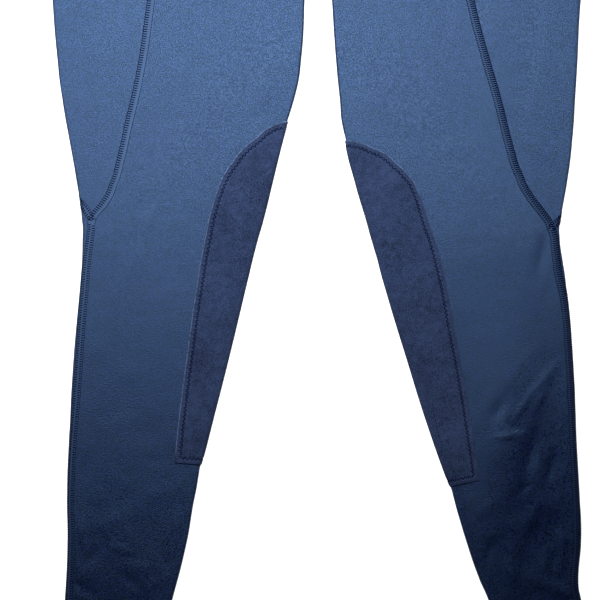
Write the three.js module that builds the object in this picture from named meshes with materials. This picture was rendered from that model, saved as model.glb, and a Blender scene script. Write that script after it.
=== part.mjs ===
// Riding breeches in stretch jersey with suede knee patches, laid flat on a table, front side up.
// Millimetres. +Y runs from the hems to the waist, +Z is up, and the back layer rests on z = 0.
// Each leg is a flattened tube: a front and a back layer joined by a round fold at either edge.
// Heights y are measured from the crotch, and half widths u outwards from the centre line.
import * as THREE from "three";

const CLOTH = 1.2; // wall of the jersey
const SUEDE = 1.0; // wall of a knee patch
const BAND = 2.4; // wall of the waistband, which is two layers of jersey
const LAYER_GAP = 2.0; // air between the front and the back layer
const SEAM_GAP = 0.3; // clearance between two sewn pieces
const WAIST_SEAM = 197; // height of the seam under the waistband
const WAIST_TOP = 267; // height of the waistband's upper edge
const CROTCH_RADIUS = 9; // the rounded top of the gap between the legs
const CROTCH_TOP = 9; // the lowest section that is still flat at the centre seam
const HEM = -716; // height of the ankle hems, at the inner edge
const FRONT_WRAP = 62; // degrees that the front wraps below the inner fold's outermost line
const PATCH_BACK_SHARE = 0.85; // a patch reaches this much of its front width on the back
const LIFT_CLEAR = 26; // the cloth stays lifted this far past the patch under it
const LIFT_RAMP = 18; // and comes down over this width
const WAVE_FADE = 14; // the front's waves die away over this width at folds and seams
const PANEL_TIP = 1.5; // the side panel's point ends this far above the junction of its seams
const SLANT_EASE = 0.1; // more clearance along the panel's back seam, which crosses the fold aslant
const SEAM_INSET = 0.6; // the outseam keeps this far in from the centre of the outer fold

const FOLD = (CLOTH + LAYER_GAP) / 2; // radius of a fold, at the middle of the wall
const BAND_FOLD = (BAND + LAYER_GAP) / 2;
const FOLD_QUARTER = (Math.PI / 2) * FOLD;
const EDGE = FOLD + CLOTH / 2; // from a fold's centre to its outermost point
const PATCH_INSIDE = CLOTH / 2 + SEAM_GAP;
const PATCH_OUTSIDE = PATCH_INSIDE + SUEDE;
const PATCH_LIFT = SUEDE + SEAM_GAP; // the back layer rides up on a patch by this much

// Steps across each piece, and the sections along it.
const FRONT_STEPS = 8;
const SIDE_STEPS = 10;
const BACK_STEPS = 11;
const PATCH_STEPS = 4;
const BAND_STEPS = 14;
const BAND_ROWS = 3;
const HIP_HEIGHTS = [WAIST_SEAM, 162, 128, 94, 60, 30, CROTCH_TOP];
const APEX_SHARES = [0.65, 0.4, 0.2, 0]; // sections between CROTCH_TOP and the fold at the crotch
const CROTCH_ANGLES = [45, 90];
const THIGH_HEIGHTS = [-30, -60, -92, -124, -154];
const PATCH_CURVE = [0, 1.5, 5, 11, 20, 33]; // sections under the patch's top, as drops from it
const CROSSING_RISES = [24, 10, 0]; // sections where the back seam comes round the outer fold
const LEG_SPACING = 30;
const LEAST_SPACING = 7;
const FOLD_WEIGHT = 110; // a fold draws as many columns as this width of flat cloth
const INNER_ANGLES = [60, 30, 0, -30, -FRONT_WRAP];
const PATCH_ANGLES = [60, 30, 0, -30, -60];
const BAND_ANGLES = [0, 22.5, 45, 67.5];
const SEAM_COLUMNS = 3; // width beside the centre seam that holds the inner fold's columns

const NAVY = new THREE.MeshStandardMaterial({ color: 0x34486c, roughness: 0.85, metalness: 0 });
const NAVY_SIDE = new THREE.MeshStandardMaterial({ color: 0x32466a, roughness: 0.85, metalness: 0 });
const NAVY_SUEDE = new THREE.MeshStandardMaterial({ color: 0x2b3654, roughness: 1, metalness: 0 });

// The hips' outer edge, the same on both sides, from the waist seam down.
const HIPS = [
  { y: 197, outer: 184 },
  { y: 170, outer: 195.5 },
  { y: 140, outer: 208 },
  { y: 105, outer: 222 },
  { y: 70, outer: 233.5 },
  { y: 35, outer: 242 },
  { y: 0, outer: 246.5 },
  { y: -30, outer: 247 },
];

// Half widths of the waistband, from its upper edge down.
const WAISTBAND = [
  { y: WAIST_TOP, u: 172 },
  { y: 232, u: 176 },
  { y: WAIST_SEAM, u: 184 },
];

// The left and right leg as seen from above. They lie at slightly different angles.
// outer and inner are the leg's edges, turn is the slope in degrees of a line straight across it.
// seam is the front edge of the side panel, and below the junction the outseam.
// backSeam is that panel's edge on the back, from the outer edge, or on the front where negative.
// patch is the front edge of the knee patch; it curves away from the inner edge at patchTop.
// waves are soft ridges (rise over 0) and troughs (under 0) of the front layer, each along a line.
const LEGS = {
  left: {
    side: -1,
    outline: [
      { y: -69, outer: 244.7, inner: 12.4 },
      { y: -124, outer: 240.1, inner: 15.6 },
      { y: -161, outer: 235.5, inner: 22.1 },
      { y: -198, outer: 229.1, inner: 31.7 },
      { y: -235, outer: 222.6, inner: 40.9 },
      { y: -271, outer: 217.6, inner: 49.7 },
      { y: -290, outer: 217.1, inner: 55.2 },
      { y: -327, outer: 219, inner: 64.4 },
      { y: -400, outer: 225.4, inner: 81.9 },
      { y: -474, outer: 229.1, inner: 100.7 },
      { y: -529, outer: 230.9, inner: 114.1 },
      { y: -566, outer: 230.4, inner: 120.5 },
      { y: -621, outer: 232.8, inner: 134.3 },
      { y: -667, outer: 235.5, inner: 146.3 },
      { y: -716, outer: 238, inner: 155.5 },
    ],
    turn: [
      { y: 0, angle: 0 },
      { y: -130, angle: 0 },
      { y: -300, angle: 3 },
      { y: -496, angle: 4.5 },
      { y: -716, angle: 8 },
    ],
    seam: [
      { y: 197, u: 116 },
      { y: 87, u: 130.5 },
      { y: -23, u: 145.5 },
      { y: -69, u: 153.5 },
      { y: -129, u: 162.3 },
      { y: -185, u: 174.6 },
      { y: -220, u: 182.5 },
      { y: -240, u: 188.7 },
      { y: -256, u: 196.6 },
      { y: -268, u: 206.3 },
      { y: -280, u: 208.6 },
      { y: -327, u: 213.9 },
      { y: -437, u: 222.4 },
      { y: -511, u: 227.6 },
      { y: -621, u: 229.6 },
      { y: -716, u: 235 },
    ],
    backSeam: [
      { y: 197, d: 52 },
      { y: 100, d: 66 },
      { y: 0, d: 76 },
      { y: -69, d: 74 },
      { y: -110, d: 66 },
      { y: -150, d: 55 },
      { y: -190, d: 39 },
      { y: -225, d: 21 },
      { y: -253.8, d: 0 },
      { y: -268, d: -11.7 },
    ],
    junction: -268,
    crossing: -253.8,
    patch: [
      { y: -180.8, u: 28 },
      { y: -185, u: 42.6 },
      { y: -196, u: 56.7 },
      { y: -206, u: 69 },
      { y: -217, u: 77.8 },
      { y: -231, u: 87.5 },
      { y: -245, u: 93.7 },
      { y: -280, u: 102.5 },
      { y: -336, u: 112.1 },
      { y: -386, u: 119.1 },
      { y: -454, u: 128 },
      { y: -495, u: 132 },
    ],
    patchTop: -180.8,
    patchFoot: -496.5,
    waves: [
      { u: 188, y: -98, length: 46, width: 9, angle: 88, rise: -0.7 },
      { u: 168, y: -330, length: 44, width: 8, angle: 62, rise: 0.9 },
      { u: 60, y: 8, length: 60, width: 12, angle: 28, rise: 1.2 },
      { u: 92, y: -34, length: 56, width: 11, angle: 40, rise: 0.9 },
      { u: 150, y: 96, length: 70, width: 16, angle: 74, rise: 1 },
      { u: 186, y: -560, length: 34, width: 9, angle: -24, rise: 0.9 },
      { u: 196, y: -640, length: 30, width: 8, angle: 18, rise: 1 },
    ],
  },
  right: {
    side: 1,
    outline: [
      { y: -69, outer: 242.2, inner: 12.9 },
      { y: -124, outer: 239.2, inner: 16.6 },
      { y: -161, outer: 236.9, inner: 20.2 },
      { y: -195, outer: 234.6, inner: 23.6 },
      { y: -235, outer: 229.8, inner: 33.1 },
      { y: -271, outer: 223.6, inner: 43.7 },
      { y: -286, outer: 222.7, inner: 47.8 },
      { y: -308, outer: 225.4, inner: 54.3 },
      { y: -327, outer: 228.2, inner: 59.3 },
      { y: -400, outer: 234.6, inner: 81.4 },
      { y: -474, outer: 237.8, inner: 104.9 },
      { y: -529, outer: 240.8, inner: 124.7 },
      { y: -566, outer: 242, inner: 136.2 },
      { y: -603, outer: 239.4, inner: 149 },
      { y: -621, outer: 242, inner: 156.9 },
      { y: -667, outer: 250.2, inner: 171.1 },
      { y: -716, outer: 259, inner: 184.5 },
    ],
    turn: [
      { y: 0, angle: 0 },
      { y: -130, angle: 0 },
      { y: -300, angle: 5 },
      { y: -513, angle: 13 },
      { y: -716, angle: 12 },
    ],
    seam: [
      { y: 197, u: 114 },
      { y: 87, u: 118.7 },
      { y: -23, u: 131 },
      { y: -69, u: 140.1 },
      { y: -117, u: 152.4 },
      { y: -160, u: 164.8 },
      { y: -208, u: 177.1 },
      { y: -231, u: 185 },
      { y: -250, u: 194.7 },
      { y: -264, u: 205.3 },
      { y: -279, u: 214.4 },
      { y: -298, u: 218 },
      { y: -320, u: 220.8 },
      { y: -345, u: 226.4 },
      { y: -391, u: 230.7 },
      { y: -437, u: 233.2 },
      { y: -566, u: 238.6 },
      { y: -603, u: 236.2 },
      { y: -621, u: 238.8 },
      { y: -716, u: 256 },
    ],
    backSeam: [
      { y: 197, d: 52 },
      { y: 100, d: 66 },
      { y: 0, d: 76 },
      { y: -69, d: 76 },
      { y: -110, d: 69 },
      { y: -150, d: 59 },
      { y: -195, d: 41 },
      { y: -235, d: 22 },
      { y: -269, d: 0 },
      { y: -279, d: -8.9 },
    ],
    junction: -279,
    crossing: -269,
    patch: [
      { y: -198.4, u: 24.6 },
      { y: -200, u: 37 },
      { y: -204.5, u: 48.6 },
      { y: -210, u: 60.9 },
      { y: -219, u: 71.5 },
      { y: -229, u: 82 },
      { y: -242, u: 90.8 },
      { y: -271, u: 100.5 },
      { y: -307, u: 112 },
      { y: -376, u: 126 },
      { y: -433, u: 136.6 },
      { y: -509, u: 148.1 },
    ],
    patchTop: -198.4,
    patchFoot: -516.6,
    waves: [
      { u: 190, y: -124, length: 76, width: 11, angle: 92, rise: -0.9 },
      { u: 178, y: -412, length: 26, width: 8, angle: 60, rise: -1 },
      { u: 190, y: -455, length: 34, width: 9, angle: 25, rise: 1.2 },
      { u: 205, y: -500, length: 44, width: 10, angle: 66, rise: -1 },
      { u: 196, y: -575, length: 36, width: 9, angle: 30, rise: 1.3 },
      { u: 222, y: -612, length: 26, width: 7, angle: -20, rise: 1.3 },
      { u: 66, y: 14, length: 62, width: 12, angle: 32, rise: 1.2 },
      { u: 104, y: -30, length: 52, width: 11, angle: 46, rise: 0.8 },
      { u: 156, y: 110, length: 72, width: 16, angle: 98, rise: 1 },
    ],
  },
};

const clamp = (value, low, high) => Math.min(Math.max(value, low), high);
const radians = THREE.MathUtils.degToRad;

function smoothstep(value, from, to) {
  const t = clamp((value - from) / (to - from), 0, 1);
  return t * t * (3 - 2 * t);
}

// A smooth curve through one column of a table whose heights fall from row to row.
function column(table, name) {
  const last = table.length - 1;
  const slope = table.map((row, i) => {
    const above = table[Math.max(i - 1, 0)];
    const below = table[Math.min(i + 1, last)];
    return (below[name] - above[name]) / (below.y - above.y);
  });
  return (y) => {
    let i = 0;
    while (i < last - 1 && y < table[i + 1].y) i += 1;
    const height = table[i + 1].y - table[i].y;
    const t = clamp((y - table[i].y) / height, 0, 1);
    const from = table[i][name] + t * height * slope[i];
    const to = table[i + 1][name] + (t - 1) * height * slope[i + 1];
    const blend = t * t * (3 - 2 * t);
    return from * (1 - blend) + to * blend;
  };
}

// The centre of the fold round the crotch at a half width, and the direction its fold faces.
function crotchFold(u) {
  const radius = CROTCH_RADIUS + EDGE;
  const y = Math.sqrt(radius * radius - u * u);
  return {
    centre: new THREE.Vector2(u, y - CROTCH_RADIUS),
    inward: new THREE.Vector2(-u / radius, -y / radius),
  };
}

// The height that the front layer gains or loses at a point through the leg's soft waves.
function waveHeight(waves, u, y) {
  return waves.reduce((sum, wave) => {
    const cos = Math.cos(radians(wave.angle));
    const sin = Math.sin(radians(wave.angle));
    const along = ((u - wave.u) * cos + (y - wave.y) * sin) / wave.length;
    const across = ((y - wave.y) * cos - (u - wave.u) * sin) / wave.width;
    return sum + wave.rise * Math.exp(-along * along - across * across);
  }, 0);
}

// One leg with its half of the hips: its edge curves, and the sections across it.
class Leg {
  constructor(shape) {
    this.shape = shape;
    const edge = [...HIPS, ...shape.outline];
    this.outerAt = column(edge, "outer");
    const crotch = { y: -CROTCH_RADIUS, inner: CROTCH_RADIUS };
    this.innerAt = column([crotch, ...shape.outline], "inner");
    this.turnAt = column(shape.turn, "angle");
    this.seamAt = column(shape.seam, "u");
    this.backSeamAt = column(shape.backSeam, "d");
    this.patchAt = column(shape.patch, "u");
    this.sections = this.makeSections();
  }

  // Height at the inner edge of the section that is at a height by the outer edge.
  levelOf(height) {
    let y = height;
    for (let i = 0; i < 8; i += 1) y += height - this.legSection(y).outer.y;
    return y;
  }

  // Heights, at the inner edge, of the sections below the crotch.
  heights() {
    const { patchTop, patchFoot, junction, crossing } = this.shape;
    const cross = this.levelOf(crossing);
    const join = this.levelOf(junction);
    const fixed = PATCH_CURVE.map((drop) => patchTop - drop);
    fixed.push(...CROSSING_RISES.map((rise) => cross + rise));
    fixed.push(join + PANEL_TIP, join, patchFoot, HEM);
    const even = [...THIGH_HEIGHTS];
    for (let y = join - LEG_SPACING; y > HEM; y -= LEG_SPACING) even.push(y);
    const clear = even.filter((y) => fixed.every((other) => Math.abs(other - y) > LEAST_SPACING));
    return [...fixed, ...clear].sort((a, b) => b - a);
  }

  makeSections() {
    return [
      ...HIP_HEIGHTS.map((y) => this.seamedSection(y)),
      ...APEX_SHARES.map((share) => this.apexSection(share)),
      ...CROTCH_ANGLES.map((angle) => this.crotchSection(angle)),
      ...this.heights().map((y) => this.legSection(y)),
    ];
  }

  // A section through the hips, which ends at the centre seam.
  seamedSection(y) {
    const outer = new THREE.Vector2(this.outerAt(y) - EDGE, y);
    const inner = new THREE.Vector2(SEAM_GAP / 2, y);
    return this.section(outer, inner, new THREE.Vector2(-1, 0), y, true);
  }

  // A section just above the crotch, where the centre seam goes over the fold. Share 0 is lowest.
  apexSection(share) {
    const low = crotchFold(SEAM_GAP / 2 + SEAM_COLUMNS).centre.y;
    return { ...this.seamedSection(low + share * (CROTCH_TOP - low)), apex: share };
  }

  // A section that ends on the rounded crotch, at an angle round it from the centre line.
  crotchSection(angle) {
    const { centre, inward } = crotchFold((CROTCH_RADIUS + EDGE) * Math.sin(radians(angle)));
    const y = centre.y - (angle / 90) * EDGE;
    const outer = new THREE.Vector2(this.outerAt(y) - EDGE, y);
    return this.section(outer, centre, inward, y, false);
  }

  // A section across the leg, from its inner edge at height y.
  legSection(y) {
    const slope = Math.tan(radians(this.turnAt(y)));
    const start = this.innerAt(y);
    let end = this.outerAt(y);
    for (let i = 0; i < 6; i += 1) end = this.outerAt(y + (end - start) * slope);
    const inward = new THREE.Vector2(-1, -slope).normalize();
    const inner = new THREE.Vector2(start, y).addScaledVector(inward, -EDGE - this.patchInset(y));
    const outer = new THREE.Vector2(end, y + (end - start) * slope).addScaledVector(inward, EDGE);
    return this.section(outer, inner, inward, y, false);
  }

  section(outer, inner, inward, y, seamed) {
    const across = inner.clone().sub(outer);
    const width = across.length();
    return { outer, inner, inward, across: across.divideScalar(width), width, y, seamed };
  }

  // The patch's own thickness, which the cloth under it leaves at the inner edge.
  patchInset(y) {
    const { patchTop, patchFoot } = this.shape;
    return PATCH_LIFT * (1 - smoothstep(Math.max(y - patchTop, patchFoot - y), 0, LIFT_CLEAR));
  }

  patchFrontWidth(y) {
    return Math.max(this.patchAt(y) - this.innerAt(y), EDGE + 1);
  }

  lift(u, y) {
    const { patchTop, patchFoot } = this.shape;
    const beyond = Math.max(y - patchTop, patchFoot - y);
    const width = PATCH_BACK_SHARE * this.patchFrontWidth(clamp(y, patchFoot, patchTop));
    const aside = u - this.innerAt(Math.min(y, -CROTCH_RADIUS)) - width;
    const reach = LIFT_CLEAR + LIFT_RAMP;
    const ends = 1 - smoothstep(beyond, LIFT_CLEAR, reach);
    return PATCH_LIFT * ends * (1 - smoothstep(aside, LIFT_CLEAR, reach));
  }

  // A frame is a point of the wall's middle surface, with the direction that faces out of it.
  // This one is on the front layer (layer 1) or the back layer (layer -1).
  flatFrame(section, distance, layer) {
    const plan = section.outer.clone().addScaledVector(section.across, distance);
    const margin = Math.min(distance, section.width - distance, WAIST_SEAM - plan.y);
    const fade = smoothstep(margin, 0, WAVE_FADE);
    const bare = 1 - this.lift(plan.x, plan.y) / PATCH_LIFT;
    const wave = layer > 0 ? fade * bare * waveHeight(this.shape.waves, plan.x, plan.y) : 0;
    return this.frame(plan, layer * FOLD + wave, new THREE.Vector2(), layer);
  }

  // A frame on the round fold at one end of a section, at an angle above its outermost line.
  foldFrame(centre, outward, angle) {
    const cos = Math.cos(radians(angle));
    const sin = Math.sin(radians(angle));
    const plan = centre.clone().addScaledVector(outward, FOLD * cos);
    return this.frame(plan, FOLD * sin, outward.clone().multiplyScalar(cos), sin);
  }

  frame(plan, height, outward, up) {
    const { side } = this.shape;
    const level = CLOTH / 2 + FOLD + height + this.lift(plan.x, plan.y);
    const point = new THREE.Vector3(side * plan.x, plan.y, level);
    return { point, normal: new THREE.Vector3(side * outward.x, outward.y, up) };
  }

  innerFold(section, angle) {
    return this.foldFrame(section.inner, section.inward, angle);
  }

  // The front's frames beside the centre seam, which follow it down over the fold at the crotch.
  centreFrame(section, index) {
    const u = SEAM_GAP / 2 + SEAM_COLUMNS * (1 - (index + 1) / INNER_ANGLES.length);
    const { centre, inward } = crotchFold(u);
    const lowest = radians(90 - INNER_ANGLES[index]) * FOLD;
    const descent = (1 - section.apex) * lowest - section.apex * (CROTCH_TOP - centre.y);
    if (descent > 0) return this.foldFrame(centre, inward, 90 - (descent / FOLD_QUARTER) * 90);
    return this.frame(new THREE.Vector2(u, centre.y - descent), FOLD, new THREE.Vector2(), 1);
  }

  // A frame at a girth from the outer edge: over the front where positive, the back where negative.
  girthFrame(section, girth) {
    if (girth > FOLD_QUARTER) return this.flatFrame(section, girth - FOLD_QUARTER, 1);
    if (girth < -FOLD_QUARTER) return this.flatFrame(section, -girth - FOLD_QUARTER, -1);
    const outward = section.across.clone().negate();
    return this.foldFrame(section.outer, outward, (girth / FOLD_QUARTER) * 90);
  }

  // Distance from the outer fold's centre at which a section meets a curve of half widths.
  meet(section, curve) {
    let distance = section.outer.x - curve(section.outer.y);
    for (let i = 0; i < 8; i += 1) {
      const y = section.outer.y + distance * section.across.y;
      distance = (section.outer.x - curve(y)) / -section.across.x;
    }
    return distance;
  }

  frontSeam(section) {
    return Math.max(this.meet(section, this.seamAt), SEAM_INSET);
  }

  // Girth of the back edge of the side panel; below the junction it is the outseam.
  backSeamGirth(section) {
    const { junction } = this.shape;
    const front = FOLD_QUARTER + this.frontSeam(section);
    if (section.outer.y <= junction + 0.01) return front;
    const d = this.backSeamAt(section.outer.y);
    const girth = FOLD_QUARTER * clamp(d / EDGE, -1, 1) + Math.sign(d) * Math.max(Math.abs(d) - EDGE, 0);
    return Math.min(-girth, front);
  }

  front() {
    return this.sections.map((section) => {
      const from = this.frontSeam(section) + SEAM_GAP / 2;
      const to = section.seamed ? section.width - SEAM_COLUMNS : section.width;
      const flat = steps(from, to, FRONT_STEPS).map((d) => this.flatFrame(section, d, 1));
      const inner = INNER_ANGLES.map((angle, i) => {
        if (section.apex !== undefined) return this.centreFrame(section, i);
        if (!section.seamed) return this.innerFold(section, angle);
        return this.flatFrame(section, to + (SEAM_COLUMNS * (i + 1)) / INNER_ANGLES.length, 1);
      });
      if (!section.seamed) slide(inner.at(-1), inner.at(-2), SEAM_GAP / 2);
      return [...flat, ...inner];
    });
  }

  back() {
    return this.sections.map((section) => {
      const from = this.backSeamGirth(section) - SEAM_GAP / 2;
      const to = section.seamed ? section.width - SEAM_COLUMNS : section.width;
      const girths = spread(from, -FOLD_QUARTER - to, BACK_STEPS);
      const frames = girths.map((girth) => this.girthFrame(section, girth));
      if (section.seamed && section.apex !== 0) {
        return [...frames, this.flatFrame(section, section.width, -1)];
      }
      const seamFold = { centre: section.inner, inward: section.inward };
      const { centre, inward } = section.seamed ? crotchFold(SEAM_GAP / 2) : seamFold;
      const last = this.foldFrame(centre, inward, -FRONT_WRAP);
      slide(last, this.foldFrame(centre, inward, -90), SEAM_GAP);
      return [...frames, last];
    });
  }

  sidePanel() {
    const { junction } = this.shape;
    const above = this.sections.filter((section) => section.outer.y > junction + PANEL_TIP / 2);
    return above.map((section) => {
      const from = FOLD_QUARTER + this.frontSeam(section) - SEAM_GAP / 2;
      const to = this.backSeamGirth(section) + SEAM_GAP / 2 + SLANT_EASE;
      return spread(from, to, SIDE_STEPS).map((girth) => this.girthFrame(section, girth));
    });
  }

  patch() {
    const { patchTop, patchFoot } = this.shape;
    const under = this.sections.filter(({ y }) => y <= patchTop && y >= patchFoot);
    return under.map((section) => {
      const width = section.width - Math.min(this.meet(section, this.patchAt), section.width - 1);
      const front = steps(section.width - width, section.width, PATCH_STEPS);
      const back = steps(section.width, section.width - PATCH_BACK_SHARE * width, PATCH_STEPS);
      return [
        ...front.map((d) => this.flatFrame(section, d, 1)),
        ...PATCH_ANGLES.map((angle) => this.innerFold(section, angle)),
        ...back.map((d) => this.flatFrame(section, d, -1)),
      ];
    });
  }
}

// Even steps from one value to another, both included.
function steps(from, to, count) {
  return Array.from({ length: count + 1 }, (_, i) => from + ((to - from) * i) / count);
}

// Girths from one value to another, closer together round the outer fold.
function spread(from, to, count) {
  const span = 2 * FOLD_QUARTER;
  const weigh = (girth) => girth + FOLD_WEIGHT * clamp((girth + FOLD_QUARTER) / span, 0, 1);
  const unweigh = (weight) => {
    if (weight < -FOLD_QUARTER) return weight;
    if (weight > FOLD_QUARTER + FOLD_WEIGHT) return weight - FOLD_WEIGHT;
    return ((weight + FOLD_QUARTER) * span) / (span + FOLD_WEIGHT) - FOLD_QUARTER;
  };
  return steps(weigh(from), weigh(to), count).map(unweigh);
}

// Moves a panel's end towards its neighbour frame, to leave half of a seam's clearance.
function slide(end, neighbour, distance) {
  const direction = neighbour.point.clone().sub(end.point);
  direction.addScaledVector(end.normal, -direction.dot(end.normal)).normalize();
  end.point.addScaledVector(direction, distance);
}

// A closed wall between two offsets from a grid of frames.
function wall(grid, inside, outside) {
  const rows = grid.length;
  const columns = grid[0].length;
  const positions = [outside, inside].flatMap((offset) =>
    grid.flat().flatMap(({ point, normal }) => point.clone().addScaledVector(normal, offset).toArray()),
  );
  const outer = (row, col) => row * columns + col;
  const inner = (row, col) => rows * columns + row * columns + col;
  const triangles = [];
  const corner = (index) => new THREE.Vector3().fromArray(positions, 3 * index);
  // Each four-sided patch is split along its shorter diagonal.
  const quad = (a, b, c, d) => {
    const across = corner(a).distanceTo(corner(c)) <= corner(b).distanceTo(corner(d));
    triangles.push(...(across ? [a, b, c, a, c, d] : [a, b, d, b, c, d]));
  };
  for (let row = 0; row < rows - 1; row += 1) {
    for (let col = 0; col < columns - 1; col += 1) {
      quad(outer(row, col), outer(row, col + 1), outer(row + 1, col + 1), outer(row + 1, col));
      quad(inner(row, col), inner(row + 1, col), inner(row + 1, col + 1), inner(row, col + 1));
    }
    const end = columns - 1;
    quad(outer(row, 0), outer(row + 1, 0), inner(row + 1, 0), inner(row, 0));
    quad(outer(row + 1, end), outer(row, end), inner(row, end), inner(row + 1, end));
  }
  for (let col = 0; col < columns - 1; col += 1) {
    const end = rows - 1;
    quad(outer(0, col + 1), outer(0, col), inner(0, col), inner(0, col + 1));
    quad(outer(end, col), outer(end, col + 1), inner(end, col + 1), inner(end, col));
  }
  const geometry = new THREE.BufferGeometry();
  geometry.setAttribute("position", new THREE.Float32BufferAttribute(positions, 3));
  geometry.setIndex(facingOut(positions, triangles));
  geometry.computeVertexNormals();
  return geometry;
}

// The triangles, turned round if they enclose a negative volume.
function facingOut(positions, triangles) {
  const corner = (index) => new THREE.Vector3().fromArray(positions, 3 * index);
  let volume = 0;
  for (let i = 0; i < triangles.length; i += 3) {
    const [a, b, c] = triangles.slice(i, i + 3).map(corner);
    volume += a.dot(b.cross(c));
  }
  return volume > 0 ? triangles : triangles.reverse();
}

// The front (layer 1) or back (layer -1) half of the waistband, from one side edge to the other.
function bandHalf(layer) {
  const outerAt = column(WAISTBAND, "u");
  const heights = steps(WAIST_TOP, WAIST_SEAM + SEAM_GAP, BAND_ROWS);
  return heights.map((y) => {
    const reach = outerAt(y) - BAND_FOLD - BAND / 2;
    const level = BAND / 2 + BAND_FOLD;
    const corner = (side) =>
      BAND_ANGLES.map((angle) => {
        const cos = Math.cos(radians(angle));
        const sin = Math.sin(radians(angle));
        const start = angle === 0 ? SEAM_GAP / 2 : 0;
        const height = level + layer * (start + BAND_FOLD * sin);
        const point = new THREE.Vector3(side * (reach + BAND_FOLD * cos), y, height);
        return { point, normal: new THREE.Vector3(side * cos, 0, layer * sin) };
      });
    const flat = steps(-reach, reach, BAND_STEPS).map((x) => {
      const point = new THREE.Vector3(x, y, level + layer * BAND_FOLD);
      return { point, normal: new THREE.Vector3(0, 0, layer) };
    });
    return [...corner(-1), ...flat, ...corner(1).reverse()];
  });
}

function piece(name, geometry, material) {
  const mesh = new THREE.Mesh(geometry, material);
  mesh.name = name;
  return mesh;
}

const breeches = new THREE.Group();
for (const [name, shape] of Object.entries(LEGS)) {
  const leg = new Leg(shape);
  const half = CLOTH / 2;
  breeches.add(piece(`front_${name}`, wall(leg.front(), -half, half), NAVY));
  breeches.add(piece(`back_${name}`, wall(leg.back(), -half, half), NAVY));
  breeches.add(piece(`side_${name}`, wall(leg.sidePanel(), -half, half), NAVY_SIDE));
  breeches.add(piece(`knee_patch_${name}`, wall(leg.patch(), PATCH_INSIDE, PATCH_OUTSIDE), NAVY_SUEDE));
}
breeches.add(piece("waistband_front", wall(bandHalf(1), -BAND / 2, BAND / 2), NAVY));
breeches.add(piece("waistband_back", wall(bandHalf(-1), -BAND / 2, BAND / 2), NAVY));

// The origin is under the middle of the whole garment, on the table.
const box = new THREE.Box3().setFromObject(breeches);
const middle = box.getCenter(new THREE.Vector3());
breeches.position.set(-middle.x, -middle.y, -box.min.z);

export default breeches;
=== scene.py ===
"""Riding breeches in stretch jersey with suede knee patches, laid flat, front side up.

Lengths in the tables and in the shape code are millimetres. u is the distance outwards from
the centre line, y is the height above the crotch and z is the height above the table. A mesh
turns them into metres in the frame's own place when it is made.
"""

import logging
import math
from collections.abc import Sequence
from dataclasses import dataclass, field
from enum import Enum
from functools import partial

import bpy
import numpy as np
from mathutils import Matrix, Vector


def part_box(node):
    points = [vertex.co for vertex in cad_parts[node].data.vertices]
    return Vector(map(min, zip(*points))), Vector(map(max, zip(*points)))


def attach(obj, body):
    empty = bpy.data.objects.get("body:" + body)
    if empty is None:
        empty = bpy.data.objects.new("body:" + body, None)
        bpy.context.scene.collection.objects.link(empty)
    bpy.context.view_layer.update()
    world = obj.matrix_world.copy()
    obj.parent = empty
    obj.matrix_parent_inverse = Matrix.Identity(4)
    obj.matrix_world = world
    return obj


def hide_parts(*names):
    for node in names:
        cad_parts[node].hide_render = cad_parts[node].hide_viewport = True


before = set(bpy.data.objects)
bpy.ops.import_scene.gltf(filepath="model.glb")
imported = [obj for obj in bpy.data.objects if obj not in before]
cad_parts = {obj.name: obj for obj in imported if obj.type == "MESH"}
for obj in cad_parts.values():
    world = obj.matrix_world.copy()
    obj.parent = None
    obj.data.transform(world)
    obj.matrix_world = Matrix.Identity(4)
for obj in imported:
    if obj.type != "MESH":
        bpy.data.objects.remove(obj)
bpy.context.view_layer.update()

Array = np.ndarray
Rows = Sequence[Sequence[float]]
Colour = tuple[float, float, float]
Socket = bpy.types.NodeSocket
log = logging.getLogger("breeches")

MM = 0.001
CLOTH = 1.2  # wall of the jersey
SUEDE = 1.0  # wall of a knee patch
BAND = 2.4  # wall of the waistband
LAYER_GAP = 2.0  # air between the front and the back layer
SEAM_GAP = 0.3  # clearance between two sewn pieces
WAIST_SEAM = 197.0
WAIST_TOP = 267.0
CROTCH_RADIUS = 9.0
CROTCH_TOP = 9.0  # the lowest line that is still flat at the centre seam
HEM = -716.0
FRONT_WRAP = 62.0  # degrees that the front wraps below the inner fold's outermost line
PATCH_BACK_SHARE = 0.85  # a patch reaches this much of its front width on the back
PANEL_TIP = 0.6  # the side panel's point ends this far above the junction of its seams
SEAM_INSET = 0.6  # the outseam keeps this far in from the outer fold
SEAM_COLUMNS = 3.0  # width beside the centre seam that holds the inner fold's columns
BAND_HALF = 3.5  # half the width of a seam's cover
COVER = 0.3  # thickness of a seam's cover
RELIEF_FADE = 11.0  # creases die away over this width at folds and seams
RUMPLED = 1.6  # the faint unevenness is this much stronger at the ankles than above
RUMPLED_FROM = 470.0
RUMPLED_TO = 560.0
LEAST_STEP = 0.4  # two lines across a leg are never closer
LEAST_CROSSING = 0.15  # a seam counts as crossing those lines at no less than this sine squared
FOLD_END = 78.0  # degrees above a fold's outermost line where a layer starts to turn

FOLD = (CLOTH + LAYER_GAP) / 2
QUARTER = math.pi / 2 * FOLD
EDGE = FOLD + CLOTH / 2
BAND_FOLD = (BAND + LAYER_GAP) / 2
PATCH_LIFT = SUEDE + SEAM_GAP

HIPS = (
    (197, 184), (170, 195.5), (140, 208), (105, 222), (70, 233.5), (35, 242), (0, 246.5), (-30, 247),
)
WAISTBAND = ((WAIST_TOP, 172), (232, 176), (WAIST_SEAM, 184))


class Layer(Enum):
    """The two layers of a flattened leg."""

    FRONT = 1
    BACK = -1


class Lift(Enum):
    """How far past a patch the cloth keeps its full lift, and how far it takes to come down."""

    TIGHT = (26.0, 18.0)
    SOFT = (4.0, 120.0)


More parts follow.
